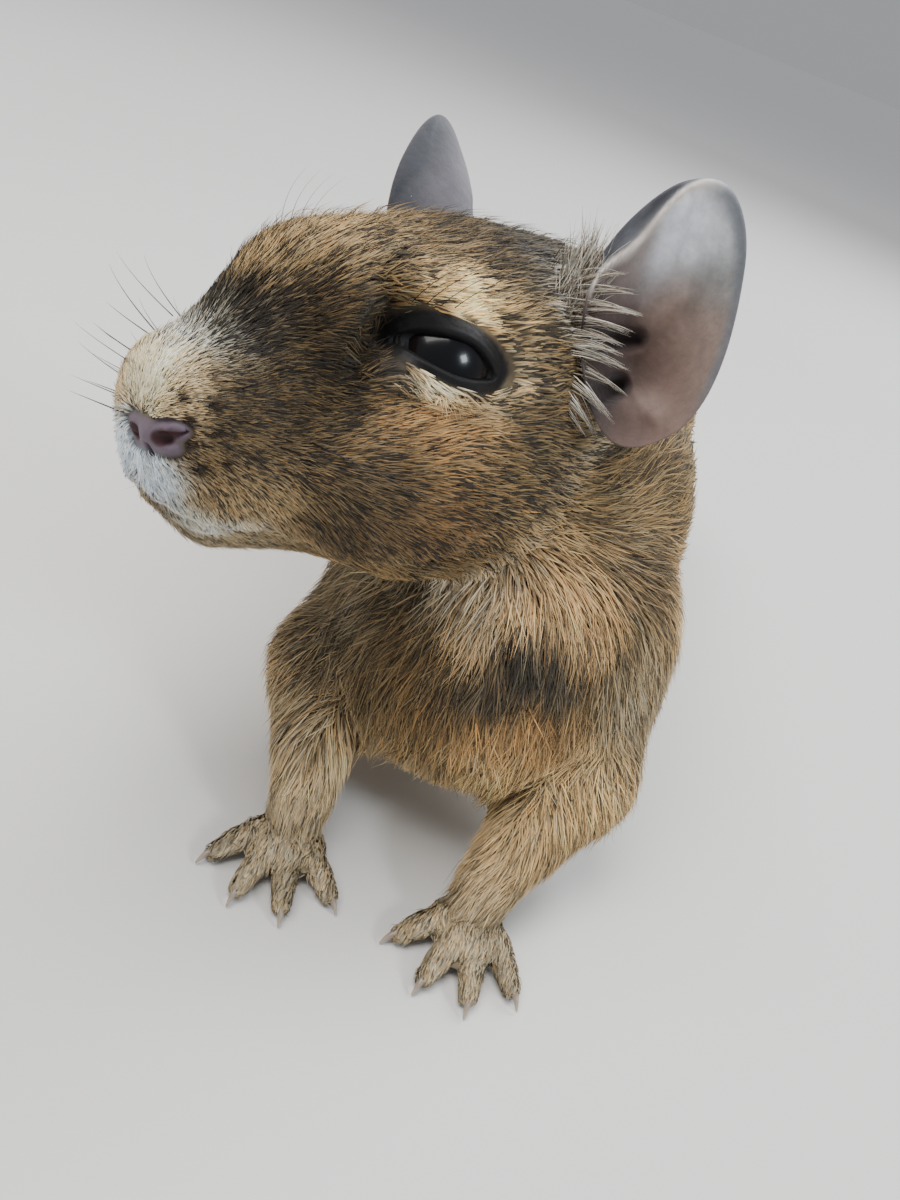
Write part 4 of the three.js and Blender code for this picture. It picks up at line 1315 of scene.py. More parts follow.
def faces_mesh(name: str, points: Array, faces: list[Array]) -> bpy.types.Mesh:
    """A mesh from its points and faces.

    Args:
        name: The mesh's name.
        points: Its points, in the animal's millimetres.
        faces: Arrays of corners, one for each count of corners.

    Returns:
        The mesh, in place.
    """
    mesh = bpy.data.meshes.new(name)
    mesh.vertices.add(len(points))
    mesh.vertices.foreach_set("co", placed(points).astype(np.float32).ravel())
    corners = np.concatenate([f.ravel() for f in faces])
    counts = np.concatenate([np.full(len(f), f.shape[1]) for f in faces])
    starts = np.concatenate([[0], np.cumsum(counts)[:-1]])
    mesh.loops.add(len(corners))
    mesh.loops.foreach_set("vertex_index", corners.astype(np.int32))
    mesh.polygons.add(len(counts))
    mesh.polygons.foreach_set("loop_start", starts.astype(np.int32))
    mesh.update(calc_edges=True)
    return mesh


def strands(name: str, paths: Array, radii: Array, sides: int) -> bpy.types.Mesh:
    """Many thin tapered tubes in one mesh.

    Args:
        name: The mesh's name.
        paths: The points of each strand, as strand, point and axis.
        radii: The radius at each point of each strand.
        sides: How many sides a tube has.

    Returns:
        The joined mesh, in place.
    """
    count, length = paths.shape[:2]
    forward = unit(np.gradient(paths, axis=1))
    rise = np.where(np.abs(forward[:, :1, 2:]) > 0.9, [[1.0, 0, 0]], [[0, 0, 1.0]])
    side = unit(np.cross(forward, np.broadcast_to(rise, forward.shape)))
    top = np.cross(side, forward)
    angle = np.arange(sides) / sides * 2 * np.pi
    ring = np.cos(angle)[:, None] * side[:, :, None] + np.sin(angle)[:, None] * top[:, :, None]
    tube = paths[:, :, None] + ring * radii[:, :, None, None]
    past = np.array([[[-0.3], [0.6]]])
    ends = paths[:, [0, -1]] + forward[:, [0, -1]] * radii[:, [0, -1], None] * past
    points = np.concatenate([tube.reshape(count, -1, 3), ends], axis=1)
    size = points.shape[1]
    k = np.arange(sides)
    after = (k + 1) % sides
    quads = [np.stack([i * sides + k, i * sides + after, (i + 1) * sides + after, (i + 1) * sides + k], -1)
             for i in range(length - 1)]
    quads = np.concatenate(quads)
    last = (length - 1) * sides
    first_cap = np.stack([after, k, np.full(sides, size - 2)], -1)
    last_cap = np.stack([last + k, last + after, np.full(sides, size - 1)], -1)
    offset = (np.arange(count) * size)[:, None, None]
    triangles = np.concatenate([first_cap, last_cap])
    faces = [(quads[None] + offset).reshape(-1, 4), (triangles[None] + offset).reshape(-1, 3)]
    return faces_mesh(name, points.reshape(-1, 3), faces)


# The skin


@dataclass
class Skin:
    """One closed skin in place of all the flesh, a coat's depth inside it."""

    voxel: float = 1.15
    overlap: float = 0.3
    socket_fill: float = 0.4
    stride: float = 1.2
    lowest: float = 0.04
    flesh: tuple[str, ...] = (
        "head",
        "neck",
        "torso",
        *("foreleg_left", "foreleg_right", "forepaw_left", "forepaw_right"),
        *("hindleg_left", "hindleg_right", "hindfoot_left", "hindfoot_right"),
        "tail_base",
        "tail_middle",
    )

    def joined_forms(self) -> bmesh.types.BMesh:
        """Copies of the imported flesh, grown a little so that they run together, with the sockets filled."""
        bm = bmesh.new()
        for name in self.flesh:
            bm.from_mesh(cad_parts[name].data)
        bmesh.ops.remove_doubles(bm, verts=bm.verts, dist=1e-6)
        bmesh.ops.scale(bm, vec=(1 / MM,) * 3, verts=bm.verts)
        bmesh.ops.translate(bm, vec=-Vector(SHIFT), verts=bm.verts)
        bm.normal_update()
        for vertex in bm.verts:
            vertex.co += vertex.normal * self.overlap
        line = TAIL.line(12)
        for i in range(len(line) // 2, len(line)):
            radius = float(TAIL.radius(i / (len(line) - 1)))
            matrix = Matrix.Translation(Vector(line[i]))
            bmesh.ops.create_icosphere(bm, subdivisions=2, radius=radius, matrix=matrix)
        for side in SIDES:
            matrix = Matrix.Translation(Vector(HEAD.out(mirrored(SOCKET.centre, side))))
            radius = SOCKET.radius + self.socket_fill
            bmesh.ops.create_icosphere(bm, subdivisions=3, radius=radius, matrix=matrix)
        for ear in EARS:
            centre, axes = ear.root()
            rows = [[*(axes[k][i] * ear.root_size[k] for k in range(3)), centre[i]] for i in range(3)]
            matrix = Matrix([*rows, [0, 0, 0, 1]])
            bmesh.ops.create_icosphere(bm, subdivisions=2, radius=1.0, matrix=matrix)
        return bm

    def evened(self, bm: bmesh.types.BMesh) -> bmesh.types.BMesh:
        """The joined forms as one surface of even faces.

        Args:
            bm: The joined forms.

        Returns:
            The surface.
        """
        mesh = meshed("joined_forms", bm)
        rough = shown("joined_forms", mesh)
        remesh = rough.modifiers.new("even_faces", "REMESH")
        remesh.mode = "VOXEL"
        remesh.voxel_size = self.voxel
        graph = bpy.context.evaluated_depsgraph_get()
        even = bpy.data.meshes.new_from_object(rough.evaluated_get(graph))
        made = bmesh.new()
        made.from_mesh(even)
        bpy.data.objects.remove(rough)
        bpy.data.meshes.remove(mesh)
        bpy.data.meshes.remove(even)
        return made

    def settle(self, bm: bmesh.types.BMesh, rounds: int, ease: float = 0.5) -> None:
        """Lays the free vertices on the skin's field and spreads them evenly along it.

        Args:
            bm: The mesh. A vertex is free when it is selected.
            rounds: How many times each is done.
            ease: How far a vertex moves to the middle of its neighbours.
        """
        bm.verts.index_update()
        co = places_of(bm)
        free = np.array([vertex.select for vertex in bm.verts])
        edges = np.array([[edge.verts[0].index, edge.verts[1].index] for edge in bm.edges])
        edges = edges[free[edges].any(axis=1)]
        degree = np.maximum(np.bincount(edges.ravel(), minlength=len(co)), 1)[:, None]
        for k in range(rounds):
            value, slope = FLESH.slope(co[free])
            steep = np.linalg.norm(slope, axis=-1)
            normal = slope / np.maximum(steep, 1e-6)[:, None]
            move = np.clip(value / np.maximum(steep, 0.3), -self.stride, self.stride)
            co[free] -= move[:, None] * normal
            if k < rounds - 1:
                total = np.zeros_like(co)
                np.add.at(total, edges[:, 0], co[edges[:, 1]])
                np.add.at(total, edges[:, 1], co[edges[:, 0]])
                pull = (total / degree - co)[free]
                pull -= np.sum(pull * normal, axis=-1, keepdims=True) * normal
                co[free] += ease * pull
        co[:, 2] = np.maximum(co[:, 2], self.lowest)
        put(bm, co)

    def refine(self, bm: bmesh.types.BMesh, zone: Array) -> None:
        """Halves the faces whose corners lie in a zone.

        Args:
            bm: The mesh.
            zone: True for the vertices in the zone.
        """
        bm.verts.index_update()
        edges = [e for e in bm.edges if zone[e.verts[0].index] and zone[e.verts[1].index]]
        for vertex, inside in zip(bm.verts, zone):
            vertex.select = bool(inside)
        made = bmesh.ops.subdivide_edges(bm, edges=edges, cuts=1, use_grid_fill=True)
        for part in made["geom"]:
            if isinstance(part, bmesh.types.BMVert):
                part.select = True
        bmesh.ops.triangulate(bm, faces=[f for f in bm.faces if len(f.verts) > 4])

    def fine_zone(self, p: Array) -> Array:
        """The head and the feet, which have finer faces."""
        h = HEAD.into(p)
        head = (head_side(p, 2.0) > 0.5) & (h[:, 1] < 40)
        return head | ((p[:, 2] < 6.0) & by_feet(p, -22, 50, 80))

    def finest_zone(self, p: Array) -> Array:
        """The lids, the nose and the mouth, which have the finest faces.

        Args:
            p: The vertices.

        Returns:
            True for those in the zone.
        """
        h = HEAD.into(p)
        reach, outside, height = FACE.lid_place(folded(h))
        lids = (reach < 8.0) & (height > 0.3) & (outside < 1.9) & (outside > -1.0)
        q = FACE.nose_place(h)
        nose = (q[:, 1] < FACE.front + 3.4) & (q[:, 2] > -2.0) & (q[:, 2] < 2.2) & (q[:, 0] < 4.2)
        mouth, _ = to_line(folded(h), FACE.mouth)
        return (head_side(p, 2.0) > 0.5) & (lids | nose | (FACE.groove(q) < 0.9) | (mouth < 0.9))

    def rim_zone(self, p: Array) -> Array:
        """The rims of the lids and the nostrils.

        Args:
            p: The vertices.

        Returns:
            True for those in the zone.
        """
        h = HEAD.into(p)
        reach, outside, height = FACE.lid_place(folded(h))
        lids = (reach < 7.5) & (height > 0.3) & (np.abs(outside) < 0.8)
        q = FACE.nose_place(h)
        nose = (q[:, 1] < FACE.front + 2.6) & ((FACE.nostril(q) < 0.6) | (np.abs(FACE.pad(q)) < 0.5))
        return (head_side(p, 2.0) > 0.5) & (lids | nose)

    def build(self) -> bpy.types.Object:
        """The skin, in place of the flesh nodes."""
        bm = self.evened(self.joined_forms())
        for vertex in bm.verts:
            vertex.select = True
        self.settle(bm, 5)
        steps = ((self.fine_zone, 4, 0.5), (self.finest_zone, 5, 0.5), (self.rim_zone, 5, 0.4))
        for zone, rounds, ease in steps:
            self.refine(bm, zone(places_of(bm)))
            self.settle(bm, rounds, ease)
        bmesh.ops.recalc_face_normals(bm, faces=bm.faces)
        co = places_of(bm)
        mesh = meshed("skin", bm)
        mesh.vertices.foreach_set("co", placed(co).astype(np.float32).ravel())
        paint(mesh, skin_colour(co))
        piece = own("skin", mesh, Finishes.SKIN)
        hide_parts(*self.flesh, "tail_tip")
        return piece


# Ears


@dataclass
class Ear:
    """One ear: a thin oval cup with a rolled front rim, on a fleshy root."""

    side: int
    turn: float
    shift: Point
    notch: Point = (15.3, 36.5, 7.1)
    rise: Point = (-0.133, 0.228, 0.965)
    facing: Point = (0.62, -0.74, 0.26)
    bottom: tuple[float, float] = (3.5, 3.6)
    cup: float = 5.4
    root_size: Point = (4.0, 5.6, 3.0)
    rim: tuple[tuple[float, float], ...] = (
        *((1.6, -3.8), (-1.7, 0.8), (-3.3, 7.2), (-2.2, 12.8), (1.6, 18)),
        *((5.6, 18.6), (8.6, 14.3), (9.7, 5.6), (8.5, -0.7), (5, -4.1)),
    )
    size: float = 1.0
    fold: float = 1.0
    lean: float = 0.0
    hairs_from: float = -4.9
    rings: int = 34
    sectors: int = 120

    def first_axes(self) -> tuple[Array, Array, Array]:
        """Outwards, up and the way that the cup faces before its turn and lean, in the head's axes."""
        up = unit(mirrored(self.rise, self.side))
        facing = mirrored(self.facing, self.side)
        facing = unit(facing - (facing @ up) * up)
        return unit(np.cross(up, facing) * self.side), up, facing

    def axes(self) -> tuple[Array, Array, Array]:
        """Outwards, up and the way that the cup faces, in the head's axes."""
        out, up, facing = self.first_axes()
        turned = []
        for axis in (facing, out):
            across = np.cross(up, axis)
            turned.append(axis * math.cos(self.turn) + across * math.sin(self.turn))
        facing, out = turned
        sin, cos = math.sin(self.lean), math.cos(self.lean)
        return out, up * cos + facing * sin, facing * cos - up * sin

    def origin(self) -> Array:
        """The bottom of the cup before its turn."""
        out, up, facing = self.first_axes()
        notch = mirrored(self.notch, self.side)
        place = notch + out * self.bottom[0] + up * self.bottom[1] - facing * self.cup
        return place + np.array(self.shift)

    def at(self, x: Array, y: Array, depth: Array) -> Array:
        """Places in the ear's plane as points of the animal.

        Args:
            x: Outwards from the front of the ear.
            y: Up from its notch.
            depth: In front of the rim's plane.

        Returns:
            The points.
        """
        out, up, facing = self.axes()
        x, y, depth = (np.asarray(v, float)[..., None] for v in (x, y, depth))
        place = out * (x - self.bottom[0]) * self.size + up * (y - self.bottom[1]) * self.size
        return HEAD.out(self.origin() + place + facing * (depth + self.cup))

    def root(self) -> tuple[Array, list[Array]]:
        """The centre and the axes of the fleshy root, as the animal's."""
        out, up, _ = self.axes()
        centre = self.at(self.bottom[0] - 1, self.bottom[1] - 0.5, -self.cup - 3.9)
        return centre, [HEAD.turned(v) for v in (out, up, np.cross(out, up))]

    def plane(self, share: Array, angle: Array) -> Array:
        """Where a part of the wall lies in the ear's plane.

        Args:
            share: 0 at the bottom of the cup and 1 at the rim.
            angle: Round the rim, from 0 to 1.

        Returns:
            Its place outwards and up.
        """
        rim = spline(np.array(self.rim), 40, closed=True)
        where = (angle % 1.0) * len(rim)
        first = where.astype(int) % len(rim)
        edge = mix(rim[first], rim[(first + 1) % len(rim)], (where - np.floor(where))[:, None])
        return mix(np.array(self.bottom), edge, share[:, None])

    def margin(self, share: Array, angle: Array) -> tuple[Array, Array]:
        """The turned-in front margin: its pale crest, and the dark outer side before it."""
        bay = np.exp(-(((angle - 0.325) / 0.075) ** 2))
        crest = 1 - 0.17 * bay
        along = ramp(0.17, 0.23, angle) * (1 - ramp(0.44, 0.52, angle)) * self.fold
        return along * np.exp(-(((share - crest) / 0.036) ** 2)), along * ramp(0.01, 0.05, share - crest)

    def canal(self, q: Array) -> Array:
        """How deep places lie in the two slots that lead into the ear, from 0 to 1."""
        flat = np.column_stack([q, np.zeros(len(q))])
        upper = rod(flat, (-3.4, 3.0, 0), (2.4, 5.2, 0), 1.15, 0.45)
        lower = rod(flat, (-1.0, -2.0, 0), (1.9, 0.6, 0), 1.1, 0.75)
        return np.maximum(1 - ramp(-0.4, 0.9, upper), 1 - ramp(-0.4, 0.8, lower))

    def shell(self, share: Array, angle: Array, layer: Array) -> Array:
        """A point of the ear's wall.

        Args:
            share: 0 at the bottom of the cup and 1 at the rim.
            angle: Round the rim, from 0 to 1.
            layer: 0 on the inside and 1 on the back.

        Returns:
            The points of the animal.
        """
        q = self.plane(share, angle)
        thick = mix(1.2, 0.5, np.minimum(share, 1))
        depth = -self.cup * (1 - np.minimum(share, 1.05) ** 2)
        crest, before = self.margin(share, angle)
        depth = depth + 0.75 * crest - 1.1 * before * ramp(0.86, 1.0, share)
        flat = np.column_stack([q, np.zeros(len(q))])
        low_fold = rod(flat, (2.2, 1.6, 0), (6.0, -1.6, 0), 0.3, 0.15)
        mid_fold = rod(flat, (0.6, 2.2, 0), (5.2, 9.5, 0), 0.4, 0.1)
        depth = depth + 0.55 * (1 - ramp(-0.2, 1.1, low_fold)) + 0.4 * (1 - ramp(-0.2, 1.6, mid_fold))
        depth = depth - 1.5 * self.canal(q)
        depth = depth + 0.08 * noise(flat, 2.4, 9) * ramp(0.1, 0.4, share)
        return self.at(q[:, 0], q[:, 1], depth - thick * layer)

    def colour(self, share: Array, angle: Array, layer: Array) -> Array:
        """The ear's display colour: its patches within, among them painted highlight and painted shade, the
        painted shade of its canal slots, its dark margin and its grey back.

        Args:
            share: 0 at the bottom of the cup and 1 at the rim.
            angle: Round the rim, from 0 to 1.
            layer: 0 on the inside and 1 on the back.

        Returns:
            A display colour for each place.
        """
        q = self.plane(share, angle)
        flat = np.column_stack([q, np.zeros(len(q))])
        flat = flat + 0.5 * noise(flat, 2.6, 14)[:, None]
        inner, _ = marked(flat, EAR_MARKS, EAR_BASE)
        veins = np.abs(noise(flat * np.array([1, 0.45, 1]), 1.7, 15))
        inner = inner * (0.95 + 0.07 * ramp(0, 0.3, veins))[:, None]
        crest, before = self.margin(share, angle)
        rear = ramp(0.42, 0.55, angle) * (1 - ramp(0.72, 0.82, angle)) * ramp(0.88, 1.0, share)
        # The canal paint is near-black painted shade over the carved slots.
        for tone, cover in (
            (Paint.EAR_CANAL_SHADE, 0.93 * self.canal(q)),
            (Paint.EAR_MARGIN, 0.9 * before),
            (Paint.EAR_CREST, 0.9 * crest),
            (Paint.EAR_REAR_RIM, 0.8 * rear),
        ):
            inner = mix(inner, tone.rgb(), cover[:, None])
        outer = mix(Paint.EAR_BACK.rgb(), Paint.EAR_BACK_RIM.rgb(), ramp(0.62, 1.0, share)[:, None])
        low = (1 - ramp(0.3, 0.75, share))[:, None] * (q[:, 1:] < 4)
        outer = mix(outer, Paint.EAR_BACK_ROOT.rgb(), low)
        return mix(inner, outer, ramp(0.2, 0.8, layer)[:, None])

    def build(self) -> bpy.types.Object:
        """The ear's wall, spun from one radial line that runs out, over the rim and back."""
        name = side_name(self.side)
        shares = [k / self.rings for k in range(self.rings + 1)]
        rim = [(1 + 0.035 * math.sin(a), 0.5 - 0.5 * math.cos(a)) for a in (0.5, 1.1, 1.57, 2.04, 2.64)]
        profile = [(s, 0.0) for s in shares] + rim + [(s, 1.0) for s in reversed(shares)]
        bm = bmesh.new()
        verts = [bm.verts.new((s, 0, z)) for s, z in profile]
        edges = [bm.edges.new(pair) for pair in zip(verts, verts[1:])]
        bmesh.ops.spin(
            bm,
            geom=verts + edges,
            cent=(0, 0, 0),
            axis=(0, 0, 1),
            dvec=(0, 0, 0),
            angle=2 * math.pi,
            steps=self.sectors,
            use_merge=True,
        )
        bmesh.ops.remove_doubles(bm, verts=bm.verts, dist=1e-5)
        flat = places_of(bm)
        share = np.hypot(flat[:, 0], flat[:, 1])
        angle = np.arctan2(flat[:, 1], flat[:, 0]) / (2 * math.pi) % 1.0
        layer = flat[:, 2]
        co = self.shell(share, angle, layer)
        put(bm, placed(co))
        bmesh.ops.recalc_face_normals(bm, faces=bm.faces)
        mesh = meshed(f"ear_shell_{name}", bm)
        paint(mesh, self.colour(share, angle, layer) * (1 + 0.04 * noise(co, 1.4, 12))[:, None])
        piece = own(f"ear_shell_{name}", mesh, Finishes.EAR)
        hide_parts(f"ear_{name}")
        return piece


EARS = (
    Ear(1, 0.0, (0, 0, 0)),
    Ear(-1, -0.72, (1.3, -0.4, 2.9), size=0.94, fold=0.15, lean=0.36, hairs_from=-1.7),
)


# Eyes


@dataclass(frozen=True)
class Eye:
    """One eye: a dark glossy ball with a slight cornea."""

    side: int
    cornea: float = 0.012
    columns: int = 72
    rows: int = 48

    def build(self) -> bpy.types.Object:
        """The ball in its socket."""
        name = side_name(self.side)
        centre = HEAD.out(mirrored(SOCKET.centre, self.side))
        gaze = HEAD.turned(unit(mirrored(SOCKET.gaze, self.side)))
        bm = bmesh.new()
        bmesh.ops.create_uvsphere(
            bm,
            u_segments=self.columns,
            v_segments=self.rows,
            radius=SOCKET.radius,
            matrix=Vector(gaze).to_track_quat("Z", "Y").to_matrix().to_4x4(),
        )
        places = places_of(bm)
        ahead = unit(places) @ gaze
        put(bm, placed(places * (1 + self.cornea * ramp(0.0, 1.0, ahead))[:, None] + centre))
        mesh = meshed(f"eye_ball_{name}", bm)
        iris = ramp(0.4, 0.7, ahead) * (1 - ramp(0.75, 0.95, ahead))
        paint(mesh, mix(Paint.EYE_BALL.rgb(), Paint.IRIS.rgb(), iris[:, None]))
        piece = own(f"eye_ball_{name}", mesh, Finishes.EYE)
        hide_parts(f"eye_{name}")
        return piece


# The coat


@dataclass(frozen=True)
class Style:
    """How tufts stand at points: their length, width, height over the skin and how many cover a place."""

    length: Array
    width: Array
    height: Array
    cover: Array


def styled(p: Array) -> Style:
    """The coat's style anywhere on the animal.

    Args:
        p: Points on the skin.

    Returns:
        The style at each point.
    """
    raw = HEAD.into(p)
    h = folded(raw)
    y = h[:, 1]
    head = head_side(p, 8.0)
    face = np.interp(y, (-2, 3, 8, 14, 24, 34, 46), (0.8, 1.2, 1.8, 2.5, 3.4, 4.2, 5.2))
    _, outside, out = FACE.lid_place(h)
    by_eye = swell(h, SOCKET.centre, (8, 7, 7)) * ramp(5, 0, outside) * (out > 0)
    face = face * (1 - 0.45 * by_eye)
    face = face * mix(1.0, 0.75, ramp(-5, -8, h[:, 2]) * (1 - ramp(10, 16, y)))
    face_width = np.interp(y, (-2, 6, 16, 30, 46), (0.11, 0.13, 0.16, 0.18, 0.2))
    behind = ramp(-6, 16, p[:, 1])
    up = ramp(4, 15, p[:, 2])
    length = mix(3.2, mix(7.0, 8.0, behind), up)
    width = mix(mix(0.15, 0.3, behind), mix(0.15, 0.42, behind), up)
    low = 1 - ramp(2.5, 6.0, p[:, 2])
    feet = low * by_feet(p, -20, 48, 88)
    length = mix(length, 1.6, feet)
    width = mix(width, 0.2, feet)
    tail = ramp(95, 105, p[:, 1])
    length = mix(length, 2.8, tail)
    width = mix(width, 0.3, tail)
    length = mix(length, face, head)
    width = mix(width, face_width, head)
    bridge = swell(h, (0, 9.5, 12.5), (5.5, 5.0, 4.5))
    jaw = ramp(-7, -10.5, h[:, 2]) * ramp(13, 19, y) * head
    height = FLESH.depth(p) * mix(1.0, 0.85, head) + 0.7 * bridge * head + 0.8 * jaw
    length = length * (1 + 0.35 * jaw)
    near = ramp(-6, 4, raw[:, 0])
    front = (1 - behind) * up * ramp(-30, 0, p[:, 0])
    cover = mix(2.6 + 2.6 * front, 3.3 + 2.0 * near, head)
    return Style(length, width, height, cover)


def tail_place(p: Array) -> tuple[Array, Array]:
    """The share of the tail's length at points, and the number of the nearest point of its line."""
    _, share = to_line(p, TAIL_LINE)
    last = len(TAIL_LINE) - 1
    return share, np.clip((share * last).round().astype(int), 0, last)


def lie(p: Array, normal: Array) -> Array:
    """The way that the coat lies along the skin.

    Args:
        p: Points on the skin.
        normal: The skin's direction there.

    Returns:
        A direction along the skin for each point.
    """
    h = HEAD.into(p)
    m = folded(h)
    sign = np.where(h[:, 0] < 0, -1.0, 1.0)
    nose = 1 - ramp(0, 9, m[:, 1])
    low = ramp(5, -8, m[:, 2])
    front = np.stack([h[:, 0] * 0.28 * nose, np.ones(len(p)), (h[:, 2] - 1) * 0.28 * nose - 0.55 * low], -1)
    lip = (1 - ramp(2, 8, m[:, 1])) * ramp(-1, -3, m[:, 2])
    front = mix(front, np.stack([0.5 * sign, 0.5 + 0 * sign, -1 + 0 * sign], -1), lip[:, None])
    head_lie = HEAD.turned(unit(front))
    side = np.tanh((p[:, 0] + 3) / 9)
    chest = (1 - ramp(-14, 6, p[:, 1])) * ramp(46, 34, p[:, 2])
    back = np.stack([0.05 * side, np.ones(len(p)), -0.34 * ramp(50, 30, p[:, 2])], -1)
    down = np.stack([0.28 * side, 0.05 + 0 * side, -1 + 0 * side], -1)
    body_lie = mix(back, down, chest[:, None])
    for leg in FORELEGS.values():
        arm = np.array(leg.foot, float) - np.array(leg.middle, float)
        near = ramp(9, 5, np.abs(p[:, 0] - leg.middle[0])) * ramp(15, 9, p[:, 2]) * (p[:, 1] < -6)
        body_lie = mix(body_lie, unit(arm), near[:, None])
    for leg in HINDLEGS.values():
        thigh = swell(p, (leg.top[0] - 5 * leg.inner, leg.top[1] + 2, leg.top[2] - 6), (8, 15, 13))
        body_lie = mix(body_lie, np.array([0, 0.45, -0.9]), np.clip(1.3 * thigh, 0, 1)[:, None])
    feet = (1 - ramp(3.0, 6.5, p[:, 2])) * by_feet(p, -22, 50, 86)
    body_lie = mix(body_lie, np.array([0, -1.0, -0.1]), feet[:, None])
    rear = p[:, 1] > 86
    if rear.any():
        _, place = tail_place(p[rear])
        tail_lie = unit(np.gradient(TAIL_LINE, axis=0)[place])
        body_lie[rear] = mix(body_lie[rear], tail_lie, ramp(88, 98, p[rear, 1])[:, None])
    way = mix(unit(body_lie), head_lie, head_side(p, 14.0)[:, None])
    way = way - np.sum(way * normal, axis=-1, keepdims=True) * normal
    return round_eye(p, unit(way))


def round_eye(p: Array, way: Array) -> Array:
    """The lie turned so that no tuft crosses the opening of an eye.

    Args:
        p: Points on the skin.
        way: The lie there.

    Returns:
        The lie, along the lids where it ran into them.
    """
    h = HEAD.into(p)
    close = (h[:, 1] < 36) & (head_side(p, 4.0) > 0)
    sign = np.where(h[:, 0] < 0, -1.0, 1.0)
    m = folded(h)
    _, outside, height = FACE.lid_place(m)
    along, across, _ = SOCKET.axes()
    q = m - np.array(SOCKET.centre)
    step = 0.05
    u, v = q @ along, q @ across
    slope_u = (SOCKET.outside(u + step, v) - outside) / step
    slope_v = (SOCKET.outside(u, v + step) - outside) / step
    away = slope_u[:, None] * along + slope_v[:, None] * across
    away[:, 0] *= sign
    away = HEAD.turned(away)
    into = np.minimum(np.sum(way * away, axis=-1), 0)
    share = close * (height > 0) * (1 - ramp(1.6, 5.5, outside))
    return unit(way + (share * (0.04 - 1.02 * into))[:, None] * away)


ROOT_DEPTH = 0.18
TUFT_LIFT = 3.5


@dataclass
class Tufts:
    """Tufts rooted on the skin, before they become meshes."""

    root: Array
    normal: Array
    way: Array
    length: Array
    width: Array
    height: Array
    colour: Array

    def picked(self, which: Array) -> Tufts:
        """Some of the tufts."""
        return Tufts(*(getattr(self, name)[which] for name in self.__dataclass_fields__))

    def lines(self) -> Array:
        """The three places of each tuft's middle line: its sunk root, its bend and its tip."""
        sunk = self.root - ROOT_DEPTH * self.normal
        m = folded(HEAD.into(self.root))
        _, outside, out = FACE.lid_place(m)
        by_eye = (head_side(self.root, 4.0) > 0) & (outside < 3.4) & (out > 0) & (m[:, 1] < FINE_FACE)
        stand = 0.12 + 0.58 * ramp(0.4, 3.0, outside)
        bend = self.root + self.way * (0.5 * self.length)[:, None]
        tip = self.root + self.way * self.length[:, None]
        line = [sunk]
        for point, share in ((bend, 0.72), (tip, 1.0)):
            value, slope = FLESH.slope(point)
            steep = np.linalg.norm(slope, axis=-1)
            move = (self.height * share - value) / np.maximum(steep, 0.4)
            move = np.clip(move, -TUFT_LIFT, TUFT_LIFT)
            lifted = point + unit(slope) * move[:, None]
            flat = point + self.normal * (share * (stand * self.height - 0.06 * self.length))[:, None]
            line.append(np.where(by_eye[:, None], flat, lifted))
        return np.stack(line, axis=1)

    def mesh(self, name: str, wrap: Array) -> bpy.types.Mesh:
        """The tufts as one mesh, each a tapered leaf with a raised middle.

        Args:
            name: The mesh's name.
            wrap: The place of each root on the skin's unwrap.

        Returns:
            The mesh, with its colours and its bake map.
        """
        line = self.lines()
        side = unit(np.cross(self.normal, self.way))
        ridge = self.normal * (0.35 * self.width)[:, None]
        rows = []
        for k, share in ((0, 0.8), (1, 1.0)):
            reach = side * (0.5 * share * self.width)[:, None]
            rows += [line[:, k] - reach, line[:, k] + ridge, line[:, k] + reach]
        points = np.stack([*rows, line[:, 2]], axis=1)
        quads = np.array([[0, 1, 4, 3], [1, 2, 5, 4]])
        triangles = np.array([[3, 4, 6], [4, 5, 6]])
        offset = (np.arange(len(line)) * points.shape[1])[:, None, None]
        faces = [(quads[None] + offset).reshape(-1, 4), (triangles[None] + offset).reshape(-1, 3)]
        made = faces_mesh(name, points.reshape(-1, 3), faces)
        tones = self.colour[:, [0, 0, 0, 1, 1, 1, 2]]
        paint(made, tones.reshape(-1, 3))
        patch = BAKE_PATCH * np.array([[0, 0], [0.5, 0], [1, 0], [0, 0.5], [0.5, 0.5], [1, 0.5], [0.5, 1]])
        places = (wrap[:, None] + patch[None] - BAKE_PATCH / 2).reshape(-1, 2)
        corners = np.concatenate([f.ravel() for f in faces])
        bake_map(made, places[corners])
        return made


def over_eye(tufts: Tufts) -> Array:
    """Which tufts would cross the opening of an eye.

    Args:
        tufts: The tufts.

    Returns:
        True for those that would.
    """
    crosses = np.zeros(len(tufts.root), bool)
    for share in (0.35, 0.7, 1.0):
        h = folded(HEAD.into(tufts.root + tufts.way * (share * tufts.length)[:, None]))
        reach, outside, height = FACE.lid_place(h)
        crosses |= (outside < FACE.lid_band(h) - 0.15) & (height > 0) & (reach < EYE_REACH)
    return crosses


